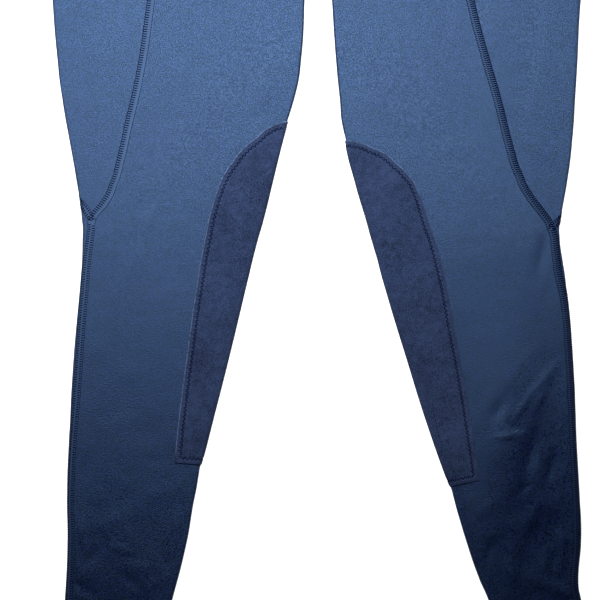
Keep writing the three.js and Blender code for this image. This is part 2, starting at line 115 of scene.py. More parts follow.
@dataclass(frozen=True)
class Crease:
    """A soft ridge, or a trough where its rise is negative.

    It lies along a line through (u, y) at an angle in degrees from the u axis. length and width
    are how far it reaches to either side along and across that line.
    """

    u: float
    y: float
    length: float
    width: float
    angle: float
    rise: float

    def height(self, u: Array, y: Array) -> Array:
        """Height that this crease adds at each point."""
        cos, sin = math.cos(math.radians(self.angle)), math.sin(math.radians(self.angle))
        along = (u - self.u) * cos + (y - self.y) * sin
        across = (y - self.y) * cos - (u - self.u) * sin
        return self.rise * np.exp(-((along / self.length) ** 2) - (across / self.width) ** 2)


def creases(*rows: Sequence[float]) -> tuple[Crease, ...]:
    """Creases from rows of u, y, length, width, angle and rise."""
    return tuple(Crease(*row) for row in rows)


@dataclass(frozen=True)
class LegShape:
    """One leg's edges and seams, as rows of (y, ...) from the top down.

    outline holds the outer and the inner edge, and turn the slope of a line straight across the
    leg. seam is the front edge of the side panel and, below the junction, the outseam. back_seam
    is how far that panel's back edge lies in from the outer edge, on the front where negative.
    pressed are the places where the nap lies smoother, and patch_marks the patch's own creases.
    rim_highlight_low is how strong the highlight painted on the patch's cut edge is below its curve,
    and spare_row is a row of stitches of its own on the patch.
    """

    name: str
    side: int
    outline: Rows
    turn: Rows
    seam: Rows
    back_seam: Rows
    junction: float
    patch: Rows
    patch_top: float
    patch_foot: float
    pressed: tuple[Crease, ...]
    front_creases: tuple[Crease, ...]
    back_creases: tuple[Crease, ...]
    patch_marks: tuple[Crease, ...]
    # how strong the painted highlight on the patch's cut edge stays below its curve
    rim_highlight_low: float
    spare_row: Rows = ()


LEFT = LegShape(
    name="left",
    side=-1,
    outline=(
        (-69, 244.7, 12.4), (-124, 240.1, 15.6), (-161, 235.5, 22.1), (-198, 229.1, 31.7),
        (-235, 222.6, 40.9), (-271, 217.6, 49.7), (-290, 217.1, 55.2), (-327, 219, 64.4),
        (-400, 225.4, 81.9), (-474, 229.1, 100.7), (-529, 230.9, 114.1), (-566, 230.4, 120.5),
        (-621, 232.8, 134.3), (-667, 235.5, 146.3), (-716, 238, 155.5),
    ),
    turn=((0, 0), (-130, 0), (-300, 3), (-496, 4.5), (-716, 8)),
    seam=(
        (197, 116), (87, 130.5), (-23, 145.5), (-69, 153.5), (-129, 162.3), (-185, 174.6),
        (-220, 182.5), (-240, 188.7), (-256, 196.6), (-268, 206.3), (-280, 208.6),
        (-327, 213.9), (-437, 222.4), (-511, 227.6), (-621, 229.6), (-716, 235),
    ),
    back_seam=(
        (197, 52), (100, 66), (0, 76), (-69, 74), (-110, 66), (-150, 55), (-190, 39), (-225, 21),
        (-253.8, 0), (-272, -10.2),
    ),
    junction=-272,
    patch=(
        (-180.8, 28), (-185, 42.6), (-196, 56.7), (-206, 69), (-217, 77.8), (-231, 87.2),
        (-245, 92.9), (-262, 98.2), (-280, 102.3), (-336, 112.1), (-386, 119.1), (-454, 128), (-495, 132),
    ),
    patch_top=-180.8,
    patch_foot=-496.5,
    pressed=creases((196, -660, 90, 60, 84, 0.7)),
    front_creases=creases(
        (188, -98, 46, 9, 88, -0.25), (190, -115, 40, 4, 90, 0.2), (192, -215, 40, 5, 88, -0.12),
        (151.5, -264, 22, 3.2, -66, 0.45), (170, -309, 28, 3.4, -69, 0.6),
        (181, -348, 22, 3.4, -82, 0.4), (51.5, -173, 24, 5, -42, -0.32),
        (100, -300, 60, 5, -80, 0.14), (60, 8, 60, 12, 28, 1.0), (92, -34, 44, 11, 40, 0.3),
        (150, 96, 60, 16, 74, 1.0), (26, 44, 44, 6, 60, -0.5), (210, 20, 40, 8, 82, -0.5),
        (96, 150, 50, 9, 96, 0.4), (186, -548, 30, 7, -24, 0.4), (198, -566, 10, 3.5, 70, -0.6),
        (180, -574, 9, 3, 20, 0.4), (218, -560, 12, 4, 80, 0.6), (146, -590, 12, 4, 64, 0.6),
        (172, -604, 12, 3.4, 40, -0.5), (160, -620, 14, 4, 70, -0.6), (204, -578, 14, 5, -48, -0.5),
        (222, -592, 16, 6, 60, 0.45), (214, -612, 14, 4.5, 34, -0.55), (164, -584, 18, 5, 12, -0.3),
        (148, -606, 16, 6, -20, 0.4), (196, -640, 30, 8, 18, 0.9), (150, -492, 14, 4, 4, -0.22),
        (214, -500, 26, 5, -58, -0.24), (168, -676, 26, 5, -12, -0.5), (205, -690, 22, 5, 30, 0.4),
    ),
    back_creases=creases(
        (90, 20, 70, 9, 35, 0.6), (60, -30, 46, 8, 48, 0.5), (150, 110, 60, 12, 80, 0.6),
        (120, -240, 44, 7, 10, 0.5), (150, -268, 50, 6, -8, 0.6), (160, -400, 46, 6, 60, 0.4),
        (185, -560, 36, 7, 20, 0.6), (190, -640, 30, 6, -14, 0.5),
    ),
    patch_marks=creases(
        (46, -226, 13, 1.3, -39, -1.1), (46, -226, 14, 3.4, -39, 0.35), (60, -250, 22, 8, 60, 0.2),
    ),
    rim_highlight_low=0.6,
)

RIGHT = LegShape(
    name="right",
    side=1,
    outline=(
        (-69, 242.2, 12.9), (-124, 239.2, 16.6), (-161, 236.9, 20.2), (-195, 234.6, 23.6),
        (-235, 229.8, 33.1), (-271, 223.6, 43.7), (-286, 222.7, 47.8), (-308, 225.4, 54.3),
        (-327, 228.2, 59.3), (-400, 234.6, 81.4), (-474, 237.8, 104.9), (-529, 240.8, 124.7),
        (-566, 242, 136.2), (-603, 239.4, 149), (-621, 242, 156.9), (-667, 250.2, 171.1),
        (-716, 259, 184.5),
    ),
    turn=((0, 0), (-130, 0), (-300, 5), (-513, 13), (-716, 12)),
    seam=(
        (197, 114), (87, 118.7), (-23, 131), (-69, 140.1), (-117, 152.4), (-160, 164.8),
        (-208, 177.1), (-231, 185), (-250, 194.7), (-264, 205.3), (-279, 214.4), (-298, 218),
        (-320, 220.8), (-345, 226.4), (-391, 230.7), (-437, 233.2), (-566, 238.6),
        (-603, 236.2), (-621, 238.8), (-716, 256),
    ),
    back_seam=(
        (197, 52), (100, 66), (0, 76), (-69, 76), (-110, 69), (-150, 59), (-195, 41), (-235, 22),
        (-269, 0), (-279, -8.9),
    ),
    junction=-279,
    patch=(
        (-198.4, 24.6), (-200, 37), (-204.5, 48.6), (-210, 60.9), (-219, 71.5), (-229, 82),
        (-242, 90.8), (-271, 100.5), (-307, 112), (-376, 126), (-433, 136.6), (-509, 148.1),
    ),
    patch_top=-198.4,
    patch_foot=-516.6,
    pressed=creases((200, -490, 110, 46, 84, 1.0), (222, -590, 80, 36, 76, 0.5)),
    front_creases=creases(
        (195, -122, 64, 8, 86, -0.5), (206, -120, 50, 5, 88, 0.14), (165, -446, 12, 6, 62, -0.95),
        (174, -470, 12, 2.6, 8, 0.55), (182, -462, 9, 2.2, -20, -0.4),
        (186, -446, 10, 2.6, 55, 0.4), (195, -487, 22, 7, 76, -1.3), (203, -424, 22, 4.5, 50, 0.7),
        (190, -400, 30, 5, 46, 0.2), (162, -500, 120, 32, 82, 3.6), (178, -592, 22, 7, 82, 1.3),
        (157, -578, 14, 4.5, 70, -0.9), (160, -562, 10, 3, 30, 0.4), (208, -594, 18, 6, 84, 0.9),
        (196, -545, 16, 5, 68, 0.9), (187, -520, 12, 3.4, 40, -0.5), (223, -578, 24, 4.5, 86, 0.9),
        (204, -436, 11, 4, 62, 0.7), (150, -540, 14, 4, 50, 0.35), (214, -500, 18, 5, 70, -0.5),
        (222, -612, 26, 7, -20, 1.0), (214, -590, 18, 5, 58, -0.45), (188, -622, 30, 6, 24, -0.6),
        (206, -655, 30, 7, -10, 0.8), (228, -668, 22, 5, 40, -0.6), (66, 14, 62, 12, 32, 1.0),
        (104, -30, 44, 11, 46, 0.3), (156, 110, 60, 16, 98, 1.0), (30, 52, 44, 6, 62, -0.5),
        (212, 24, 40, 8, 96, -0.5), (206, -303, 20, 5, 80, -0.85), (212, -330, 40, 6, 84, -0.2),
        (160, -360, 30, 5, 60, 0.12),
    ),
    back_creases=creases(
        (88, 26, 66, 9, 40, 0.6), (58, -26, 44, 8, 52, 0.5), (152, 104, 60, 12, 98, 0.6),
        (130, -250, 48, 7, 6, 0.6), (156, -280, 44, 6, -12, 0.5), (176, -420, 40, 7, 52, 0.5),
        (196, -520, 36, 7, 24, 0.6), (208, -610, 30, 7, -16, 0.6),
    ),
    patch_marks=creases((80, -300, 30, 9, 70, 0.15), (122, -424, 24, 3, 4, -0.15)),
    rim_highlight_low=0.1,
    spare_row=((104.9, -439.8), (114.1, -482.1), (113, -489.4)),
)


@dataclass(frozen=True)
class Ripple:
    """The faint unevenness of cloth that was smoothed out by hand."""

    height: float = 0.035
    shortest: float = 18.0
    longest: float = 70.0
    waves: int = 22
    seed: int = 7

    def at(self, u: Array, y: Array) -> Array:
        """Height of the unevenness at each point."""
        rng = np.random.default_rng(self.seed)
        total = np.zeros_like(u)
        for _ in range(self.waves):
            length = self.shortest * (self.longest / self.shortest) ** rng.random()
            way, phase = rng.random(2) * 2 * math.pi
            total += length * np.sin((u * math.cos(way) + y * math.sin(way)) * 2 * math.pi / length + phase)
        return total * self.height / self.longest


def smoothstep(value: Array, low: float, high: float) -> Array:
    """0 below low, 1 above high and a smooth rise between them."""
    t = np.clip((value - low) / (high - low), 0, 1)
    return t * t * (3 - 2 * t)


def unit(vectors: Array) -> Array:
    """Vectors in rows, each made one long."""
    return vectors / np.maximum(np.linalg.norm(vectors, axis=1), 1e-6)[:, None]


class Curve:
    """A smooth curve through (y, value) rows whose heights fall from row to row."""

    def __init__(self, rows: Rows, column: int = 1) -> None:
        """Reads the rows.

        Args:
            rows: the table, whose first column is the height.
            column: the column that holds the curve's values.
        """
        table = np.array([[row[0], row[column]] for row in rows], float)
        self.heights, self.values = table.T
        last = len(table) - 1
        above = np.clip(np.arange(-1, last), 0, last)
        below = np.clip(np.arange(1, last + 2), 0, last)
        rises = self.heights[below] - self.heights[above]
        self.slopes = (self.values[below] - self.values[above]) / rises

    def __call__(self, y: Array) -> Array:
        """The curve's value at each height."""
        y = np.asarray(y, float)
        i = np.searchsorted(-self.heights[1:-1], -y, side="left")
        height = self.heights[i + 1] - self.heights[i]
        t = np.clip((y - self.heights[i]) / height, 0, 1)
        start = self.values[i] + t * height * self.slopes[i]
        end = self.values[i + 1] + (t - 1) * height * self.slopes[i + 1]
        blend = t * t * (3 - 2 * t)
        return start * (1 - blend) + end * blend


@dataclass
class Frames:
    """Points of a wall's middle surface and the directions that face out of it, (n, m, 3)."""

    point: Array
    normal: Array

    def moved(self, out: Array | float) -> Array:
        """The points moved outwards by a distance, or by one for each point."""
        return self.point + self.normal * np.broadcast_to(out, self.point.shape[:2])[..., None]

    def joined(self, other: "Frames") -> "Frames":
        """These columns with another set's columns after them."""
        point = np.concatenate([self.point, other.point], axis=1)
        return Frames(point, np.concatenate([self.normal, other.normal], axis=1))

    @staticmethod
    def chosen(number: Array, *options: "Frames") -> "Frames":
        """Each frame from the option whose number stands in its place."""
        point = np.choose(number[..., None], [option.point for option in options])
        return Frames(point, np.choose(number[..., None], [option.normal for option in options]))


@dataclass
class Sections:
    """Lines across a leg from the centre of its outer fold to that of its inner fold.

    inward is the way that the inner fold faces. seamed lines end at the centre seam. apex is how
    far a line lies above the fold at the crotch, as a share, and is nan elsewhere.
    """

    outer: Array
    inner: Array
    inward: Array
    seamed: Array
    apex: Array

    @property
    def width(self) -> Array:
        """Length of each line."""
        return np.linalg.norm(self.inner - self.outer, axis=1)

    @property
    def across(self) -> Array:
        """Direction of each line, from the outer edge inwards."""
        return (self.inner - self.outer) / self.width[:, None]

    def where(self, keep: Array) -> "Sections":
        """The lines that keep picks."""
        return Sections(*(getattr(self, name)[keep] for name in self.__dataclass_fields__))

    @staticmethod
    def free(outer: Array, inner: Array, inward: Array) -> "Sections":
        """Lines below the centre seam."""
        return Sections(outer, inner, inward, np.zeros(len(outer), bool), np.full(len(outer), np.nan))

    @staticmethod
    def stacked(parts: Sequence["Sections"]) -> "Sections":
        """All parts' lines, one part under another."""
        names = Sections.__dataclass_fields__
        return Sections(*(np.concatenate([getattr(part, name) for part in parts]) for name in names))


def crotch_fold(u: Array) -> tuple[Array, Array]:
    """Centre of the fold round the crotch at a half width, and the way that the fold faces."""
    u = np.asarray(u, float)
    radius = CROTCH_RADIUS + EDGE
    y = np.sqrt(radius**2 - u**2)
    centre = np.stack([u, y - CROTCH_RADIUS], axis=-1)
    return centre, np.stack([-u / radius, -y / radius], axis=-1)


@dataclass
class Leg:
    """The surface of one leg with its half of the hips."""

    shape: LegShape
    row_spacing: float = 2.3
    hip_spacing: float = 3.5
    apex_shares: Sequence[float] = (0.8, 0.6, 0.45, 0.3, 0.18, 0.08, 0.0)
    crotch_angles: Sequence[float] = (22.0, 34.0, 46.0, 58.0, 70.0, 80.0, 90.0)
    curves: dict[str, Curve] = field(init=False)

    def __post_init__(self) -> None:
        """Reads the shape's tables into curves."""
        s = self.shape
        crotch = ((-CROTCH_RADIUS, 0.0, CROTCH_RADIUS),)
        self.curves = {
            "outer": Curve([*HIPS, *((y, out) for y, out, _ in s.outline)]),
            "inner": Curve([*crotch, *s.outline], 2),
            "turn": Curve(s.turn),
            "seam": Curve(s.seam),
            "back": Curve(s.back_seam),
            "patch": Curve(s.patch),
        }

    def from_fold(self, y: Array) -> Array:
        """Starts of level lines at heights, at the centre of the outer fold."""
        return np.stack([self.curves["outer"](y) - EDGE, y], axis=1)

    def seamed_lines(self, y: Array, apex: Array | float = np.nan) -> Sections:
        """Lines through the hips at heights, which end at the centre seam."""
        inner = np.stack([np.full_like(y, SEAM_GAP / 2), y], axis=1)
        inward = np.tile([-1.0, 0.0], (len(y), 1))
        return Sections(self.from_fold(y), inner, inward, np.ones(len(y), bool), np.full_like(y, apex))

    def apex_lines(self) -> Sections:
        """Lines just above the crotch, where the centre seam goes over the fold."""
        shares = np.array(self.apex_shares)
        low = crotch_fold(SEAM_GAP / 2 + SEAM_COLUMNS)[0][1]
        return self.seamed_lines(low + shares * (CROTCH_TOP - low), shares)

    def crotch_lines(self) -> Sections:
        """Lines that end on the rounded crotch, at angles round it from the centre line."""
        angles = np.array(self.crotch_angles)
        centre, inward = crotch_fold((CROTCH_RADIUS + EDGE) * np.sin(np.radians(angles)))
        return Sections.free(self.from_fold(centre[:, 1] - angles / 90 * EDGE), centre, inward)

    def leg_lines(self, levels: Array) -> Sections:
        """Lines across the leg, from its inner edge at each level."""
        y = np.asarray(levels, float)
        slope = np.tan(np.radians(self.curves["turn"](y)))
        start, end = self.curves["inner"](y), self.curves["outer"](y)
        for _ in range(6):
            end = self.curves["outer"](y + (end - start) * slope)
        inward = unit(np.stack([-np.ones_like(y), -slope], axis=1))
        inset = (EDGE + self.patch_inset(y))[:, None]
        inner = np.stack([start, y], axis=1) - inward * inset
        outer = np.stack([end, y + (end - start) * slope], axis=1) + inward * EDGE
        return Sections.free(outer, inner, inward)

    def level_of(self, height: float) -> float:
        """Level at the inner edge of the line that is at a height by the outer edge."""
        y = height
        for _ in range(8):
            y += height - self.leg_lines(np.array([y])).outer[0, 1]
        return y

    def leg_levels(self) -> Array:
        """Levels of the lines below the crotch, with one at each place that a piece ends."""
        s = self.shape
        fixed = [self.level_of(s.junction + PANEL_TIP), self.level_of(s.junction), HEM]
        even = np.arange(-CROTCH_RADIUS - 4, HEM, -self.row_spacing)
        clear = [y for y in even if min(abs(y - other) for other in fixed) > LEAST_STEP]
        return np.array(sorted([*fixed, *clear], reverse=True))

    def lines(self) -> Sections:
        """All lines, from the waist seam to the hem."""
        hips = np.arange(WAIST_SEAM, CROTCH_TOP + 1, -self.hip_spacing)
        return Sections.stacked([
            self.seamed_lines(np.append(hips, CROTCH_TOP)), self.apex_lines(),
            self.crotch_lines(), self.leg_lines(self.leg_levels()),
        ])

    def patch_inset(self, y: Array) -> Array:
        """The patch's own thickness, which the cloth under it leaves at the inner edge."""
        beyond = np.maximum(y - self.shape.patch_top, self.shape.patch_foot - y)
        return PATCH_LIFT * (1 - smoothstep(beyond, 0, Lift.TIGHT.value[0]))

    def lift(self, u: Array, y: Array, kind: Lift) -> Array:
        """How far the patch under the back layer lifts the cloth."""
        s = self.shape
        clear, ramp = kind.value
        beyond = np.maximum(y - s.patch_top, s.patch_foot - y)
        inside = np.clip(y, s.patch_foot, s.patch_top)
        front = np.maximum(self.curves["patch"](inside) - self.curves["inner"](inside), EDGE + 1)
        inner = self.curves["inner"](np.minimum(y, -CROTCH_RADIUS))
        aside = u - inner - PATCH_BACK_SHARE * front
        ends = 1 - smoothstep(beyond, clear, clear + ramp)
        return PATCH_LIFT * ends * (1 - smoothstep(aside, clear, clear + ramp))

    def frames(self, plan: Array, height: Array, outward: Array, up: Array | float) -> Frames:
        """Frames at plan points, at a height from the middle between the layers.

        The upper layer comes down from the patch more softly than the lower one.
        """
        u, y = plan[..., 0], plan[..., 1]
        share = np.clip(height / FOLD, -1, 1) / 2 + 0.5
        lift = (1 - share) * self.lift(u, y, Lift.TIGHT) + share * self.lift(u, y, Lift.SOFT)
        level = CLOTH / 2 + FOLD + height + lift
        point = np.concatenate([plan, level[..., None]], axis=-1)
        up = np.broadcast_to(up, level.shape)[..., None]
        return Frames(point, np.concatenate([outward, up], axis=-1))

    def flat(self, lines: Sections, distance: Array, layer: Layer) -> Frames:
        """Frames on one layer at distances from the outer fold's centre."""
        plan = lines.outer[:, None] + lines.across[:, None] * distance[..., None]
        u, y = plan[..., 0], plan[..., 1]
        margin = np.minimum(np.minimum(distance, lines.width[:, None] - distance), WAIST_SEAM - y)
        front = layer is Layer.FRONT
        bare = 1.0 if front else 1 - self.lift(u, y, Lift.TIGHT) / PATCH_LIFT
        marks = self.shape.front_creases if front else self.shape.back_creases
        relief = sum(mark.height(u, y) for mark in marks)
        rumpled = 1 + RUMPLED * smoothstep(-y, RUMPLED_FROM, RUMPLED_TO)
        relief = relief + Ripple().at(u * self.shape.side, y) * rumpled
        relief = relief * bare * smoothstep(margin, 0, RELIEF_FADE)
        return self.frames(plan, layer.value * FOLD + relief, np.zeros_like(plan), layer.value)

    def fold(self, centre: Array, outward: Array, angle: Array) -> Frames:
        """Frames on a fold round its centre line, at angles above its outermost line."""
        cos, sin = np.cos(np.radians(angle)), np.sin(np.radians(angle))
        plan = centre + outward * (FOLD * cos)[..., None]
        return self.frames(plan, FOLD * sin, outward * cos[..., None], sin)

    def wrapped(self, lines: Sections, girth: Array, inner: bool = False) -> Frames:
        """Frames at girths from an edge: over the front above 0, over the back below.

        Args:
            lines: the lines across the leg.
            girth: a row of girths for each line.
            inner: whether they start at the inner edge and not at the outer one.

        Returns:
            The frames, on the front, on the back or on the fold between them.
        """
        past = np.maximum(np.abs(girth) - QUARTER, 0)
        distance = lines.width[:, None] - past if inner else past
        ways = (lines.inner, lines.inward) if inner else (lines.outer, -lines.across)
        centre, outward = (np.broadcast_to(way[:, None], (*girth.shape, 2)) for way in ways)
        return Frames.chosen(
            np.where(girth > QUARTER, 0, np.where(girth < -QUARTER, 1, 2)),
            self.flat(lines, distance, Layer.FRONT),
            self.flat(lines, distance, Layer.BACK),
            self.fold(centre, outward, np.clip(girth / QUARTER, -1, 1) * 90),
        )

    def meet(self, lines: Sections, curve: Curve) -> Array:
        """Distance from the outer fold's centre at which each line meets a curve of u."""
        x, y = lines.outer.T
        distance = x - curve(y)
        for _ in range(8):
            distance = (x - curve(y + distance * lines.across[:, 1])) / -lines.across[:, 0]
        return distance

    def front_seam(self, lines: Sections) -> Array:
        """Distance of the front seam or the outseam along each line."""
        return np.maximum(self.meet(lines, self.curves["seam"]), SEAM_INSET)

    def back_seam(self, lines: Sections) -> Array:
        """Girth of the side panel's back seam, which becomes the outseam at the junction."""
        front = QUARTER + self.front_seam(lines)
        y = lines.outer[:, 1]
        d = self.curves["back"](y)
        past = np.sign(d) * np.maximum(np.abs(d) - EDGE, 0)
        girth = QUARTER * np.clip(d / EDGE, -1, 1) + past
        return np.where(y <= self.shape.junction + 0.01, front, np.minimum(-girth, front))

    def centre_columns(self, lines: Sections, angles: Array) -> Frames:
        """The front's last columns: round the inner fold, and beside the centre seam above it.

        Args:
            lines: all the leg's lines.
            angles: degrees above the inner fold's outermost line, one for each column.

        Returns:
            The columns: near the crotch over its fold, above it flat, below it round the leg.
        """
        shares = 1 - (np.arange(len(angles)) + 1) / len(angles)
        centre, inward = crotch_fold(SEAM_GAP / 2 + SEAM_COLUMNS * shares)
        lowest = np.radians(90 - angles) * FOLD
        apex = np.nan_to_num(lines.apex, nan=1.0)[:, None]
        descent = (1 - apex) * lowest - apex * (CROTCH_TOP - centre[:, 1])
        rows = (len(lines.outer), len(angles), 2)
        centre, inward = np.broadcast_to(centre, rows), np.broadcast_to(inward, rows)
        over = self.fold(centre, inward, 90 - descent / QUARTER * 90)
        rise = np.maximum(-descent, 0)
        plan = centre + np.stack([np.zeros_like(rise), rise], axis=-1)
        flat = self.frames(plan, np.full_like(rise, FOLD), np.zeros_like(plan), 1)
        near = Frames.chosen(np.where(descent > 0, 0, 1), over, flat)
        level = self.flat(lines, lines.width[:, None] - SEAM_COLUMNS * shares[None], Layer.FRONT)
        turned = self.wrapped(lines, np.broadcast_to(angles / 90 * QUARTER, rows[:2]), inner=True)
        kind = np.where(~np.isnan(lines.apex), 0, np.where(lines.seamed, 1, 2))[:, None]
        return Frames.chosen(kind, near, level, turned)


def evenly(start: Array, end: Array, count: int) -> Array:
    """count steps in each row from its start to its end."""
    return start[:, None] + (end - start)[:, None] * np.linspace(0, 1, count + 1)


def spread(start: Array, end: Array, count: int, weight: float = 24.0) -> Array:
    """Girths in each row from start to end, closer together round the outer fold.

    Args:
        start: the first girth of each row.
        end: the last one.
        count: how many steps lie between them.
        weight: width of flat cloth that would get as many columns as the fold does.

    Returns:
        The girths, a row for each start.
    """
    span = 2 * QUARTER
    ends = (girth + weight * np.clip((girth + QUARTER) / span, 0, 1) for girth in (start, end))
    w = evenly(*ends, count)
    inside = (w + QUARTER) * span / (span + weight) - QUARTER
    return np.where(w < -QUARTER, w, np.where(w > QUARTER + weight, w - weight, inside))


class Place:
    """Turns millimetres from the crotch into metres in the frame."""

    low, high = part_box("waistband_front")
    centre = (low[0] + high[0]) / 2
    crotch = high[1] - WAIST_TOP * MM

    @classmethod
    def metres(cls, points: Array, side: int = 1) -> Array:
        """Points of shape (..., 3) on one side of the body, in the frame."""
        scale = np.array([side * MM, MM, MM])
        return points * scale + np.array([cls.centre, cls.crotch, 0.0])


def add_object(name: str, data: bpy.types.ID) -> bpy.types.Object:
    """A new object at the origin."""
    made = bpy.data.objects.new(name, data)
    bpy.context.scene.collection.objects.link(made)
    return made


def write_attribute(mesh: bpy.types.Mesh, name: str, values: Array) -> None:
    """Adds an attribute of the mesh's points, of numbers or of (n, 3) vectors."""
    kind, key = ("FLOAT", "value") if values.ndim == 1 else ("FLOAT_VECTOR", "vector")
    data = mesh.attributes.new(name, kind, "POINT").data
    data.foreach_set(key, values.astype(np.float32).reshape(-1))


def shell(
    name: str,
    grid: Frames,
    inside: Array | float,
    outside: Array | float,
    uv: Array,
    material: bpy.types.Material,
    side: int = 1,
    marks: dict[str, Array] | None = None,
) -> bpy.types.Object:
    """A closed wall on a grid of frames.

    Args:
        name: the object's name.
        grid: the frames, a row for each line.
        inside: offset of the inner face, for all or for each frame.
        outside: offset of the outer face.
        uv: (n, m, 2) place of each frame in the flat cloth, in millimetres.
        material: what it is made of.
        side: -1 for the left leg, which is mirrored.
        marks: values from 0 to 1 for each frame, by the name that the material reads.

    Returns:
        The new object.
    """
    rows, columns = grid.point.shape[:2]
    faces = [grid.moved(outside).reshape(-1, 3), grid.moved(inside).reshape(-1, 3)]
    points = Place.metres(np.concatenate(faces), side)
    index = np.arange(rows * columns).reshape(rows, columns)
    quads = np.stack([index[:-1, :-1], index[:-1, 1:], index[1:, 1:], index[1:, :-1]], axis=-1)
    under = quads[..., ::-1] + rows * columns
    loop = np.concatenate([index[0, :-1], index[:-1, -1], index[-1, :0:-1], index[:0:-1, 0]])
    after = np.roll(loop, -1)
    rim = np.stack([after, loop, loop + rows * columns, after + rows * columns], axis=-1)
    polygons = np.concatenate([quads.reshape(-1, 4), under.reshape(-1, 4), rim])
    a, b, c, d = (points[polygons[:, k]] for k in range(4))
    volume = (a * np.cross(b, c)).sum() + (a * np.cross(c, d)).sum()
    if volume < 0:
        polygons = polygons[:, ::-1]
    mesh = bpy.data.meshes.new(name)
    mesh.from_pydata(points.tolist(), [], polygons.tolist())
    flat = np.tile(uv.reshape(-1, 2) * MM, (2, 1))
    layer = mesh.uv_layers.new(name="cloth")
    layer.data.foreach_set("uv", flat[polygons.reshape(-1)].astype(np.float32).reshape(-1))
    for mark, values in (marks or {}).items():
        write_attribute(mesh, mark, np.tile(values.reshape(-1), 2))
    mesh.shade_smooth()
    mesh.set_sharp_from_angle(angle=math.radians(50))
    mesh.materials.append(material)
    return add_object(name, mesh)


def add_node(
    tree: bpy.types.NodeTree, kind: str, inputs: dict | None = None, **settings: object
) -> bpy.types.Node:
    """A new node in a tree.

    Args:
        tree: a material's nodes or a node group.
        kind: Blender's name of the node's type.
        inputs: a value, or another node's socket, for each input by its name or number.
        settings: the node's own properties.

    Returns:
        The node.
    """
    node = tree.nodes.new(kind)
    for key, value in settings.items():
        setattr(node, key, value)
    for key, value in (inputs or {}).items():
        socket = node.inputs[key]
        if isinstance(value, Socket):
            tree.links.new(value, socket)
        else:
            socket.default_value = (*value, 1.0) if socket.type == "RGBA" else value
    return node


class Graph:
    """A material's nodes, with short ways to add and join them."""

    def __init__(self, name: str) -> None:
        """Starts an empty material."""
        self.material = bpy.data.materials.new(name)
        self.material.use_nodes = True
        self.tree = self.material.node_tree
        self.tree.nodes.clear()

    def add(self, kind: str, inputs: dict | None = None, **settings: object) -> bpy.types.Node:
        """A new node, with inputs and settings as add_node takes them."""
        return add_node(self.tree, kind, inputs, **settings)

    def place(self, kind: str = "Object") -> Socket:
        """Coordinates on the object, or in the flat cloth where kind is UV."""
        return self.add("ShaderNodeTexCoord").outputs[kind]

    def mark(self, name: str) -> Socket:
        """An attribute from 0 to 1 that the mesh carries."""
        return self.add("ShaderNodeAttribute", attribute_name=name).outputs["Fac"]

    def noise(self, coords: Socket, scale: float, detail: float = 2.0) -> Socket:
        """Noise of about 1 / scale metres, from 0 to 1."""
        inputs = {"Vector": coords, "Scale": scale, "Detail": detail, "Roughness": 0.55}
        return self.add("ShaderNodeTexNoise", inputs).outputs["Fac"]

    def maths(self, operation: str, *values: object) -> Socket:
        """One sum of one or two values."""
        return self.add("ShaderNodeMath", dict(enumerate(values)), operation=operation).outputs[0]

    def blend(self, parts: dict[Socket, float]) -> Socket:
        """The sum of values, each by its share."""
        total = None
        for value, share in parts.items():
            part = self.maths("MULTIPLY", value, share)
            total = part if total is None else self.maths("ADD", total, part)
        return total

    def mix(self, factor: Socket, a: Socket | Colour, b: Socket | Colour) -> Socket:
        """A mix of two colours."""
        return self.add("ShaderNodeMix", {0: factor, 6: a, 7: b}, data_type="RGBA").outputs[2]

    def remap(self, value: Socket, low: float, high: float, start: float = 0.0, end: float = 1.0) -> Socket:
        """A value's stretch from low to high, as start to end."""
        inputs = {"Value": value, "From Min": low, "From Max": high, "To Min": start, "To Max": end}
        return self.add("ShaderNodeMapRange", inputs).outputs["Result"]

    def bump(self, height: Socket, strength: float, depth: float) -> Socket:
        """The normal of a relief whose depth is in millimetres."""
        inputs = {"Height": height, "Strength": strength, "Distance": depth * MM}
        return self.add("ShaderNodeBump", inputs).outputs["Normal"]

    def finish(self, inputs: dict) -> bpy.types.Material:
        """Ends the tree in a shader with these inputs, and returns the material."""
        shader = self.add("ShaderNodeBsdfPrincipled", inputs)
        output = self.add("ShaderNodeOutputMaterial")
        self.tree.links.new(shader.outputs[0], output.inputs[0])
        return self.material


SHINE: Colour = (0.294, 0.545, 1.0)
WAVE_PERIOD = 0.314  # a wave texture of scale 1 repeats after this length


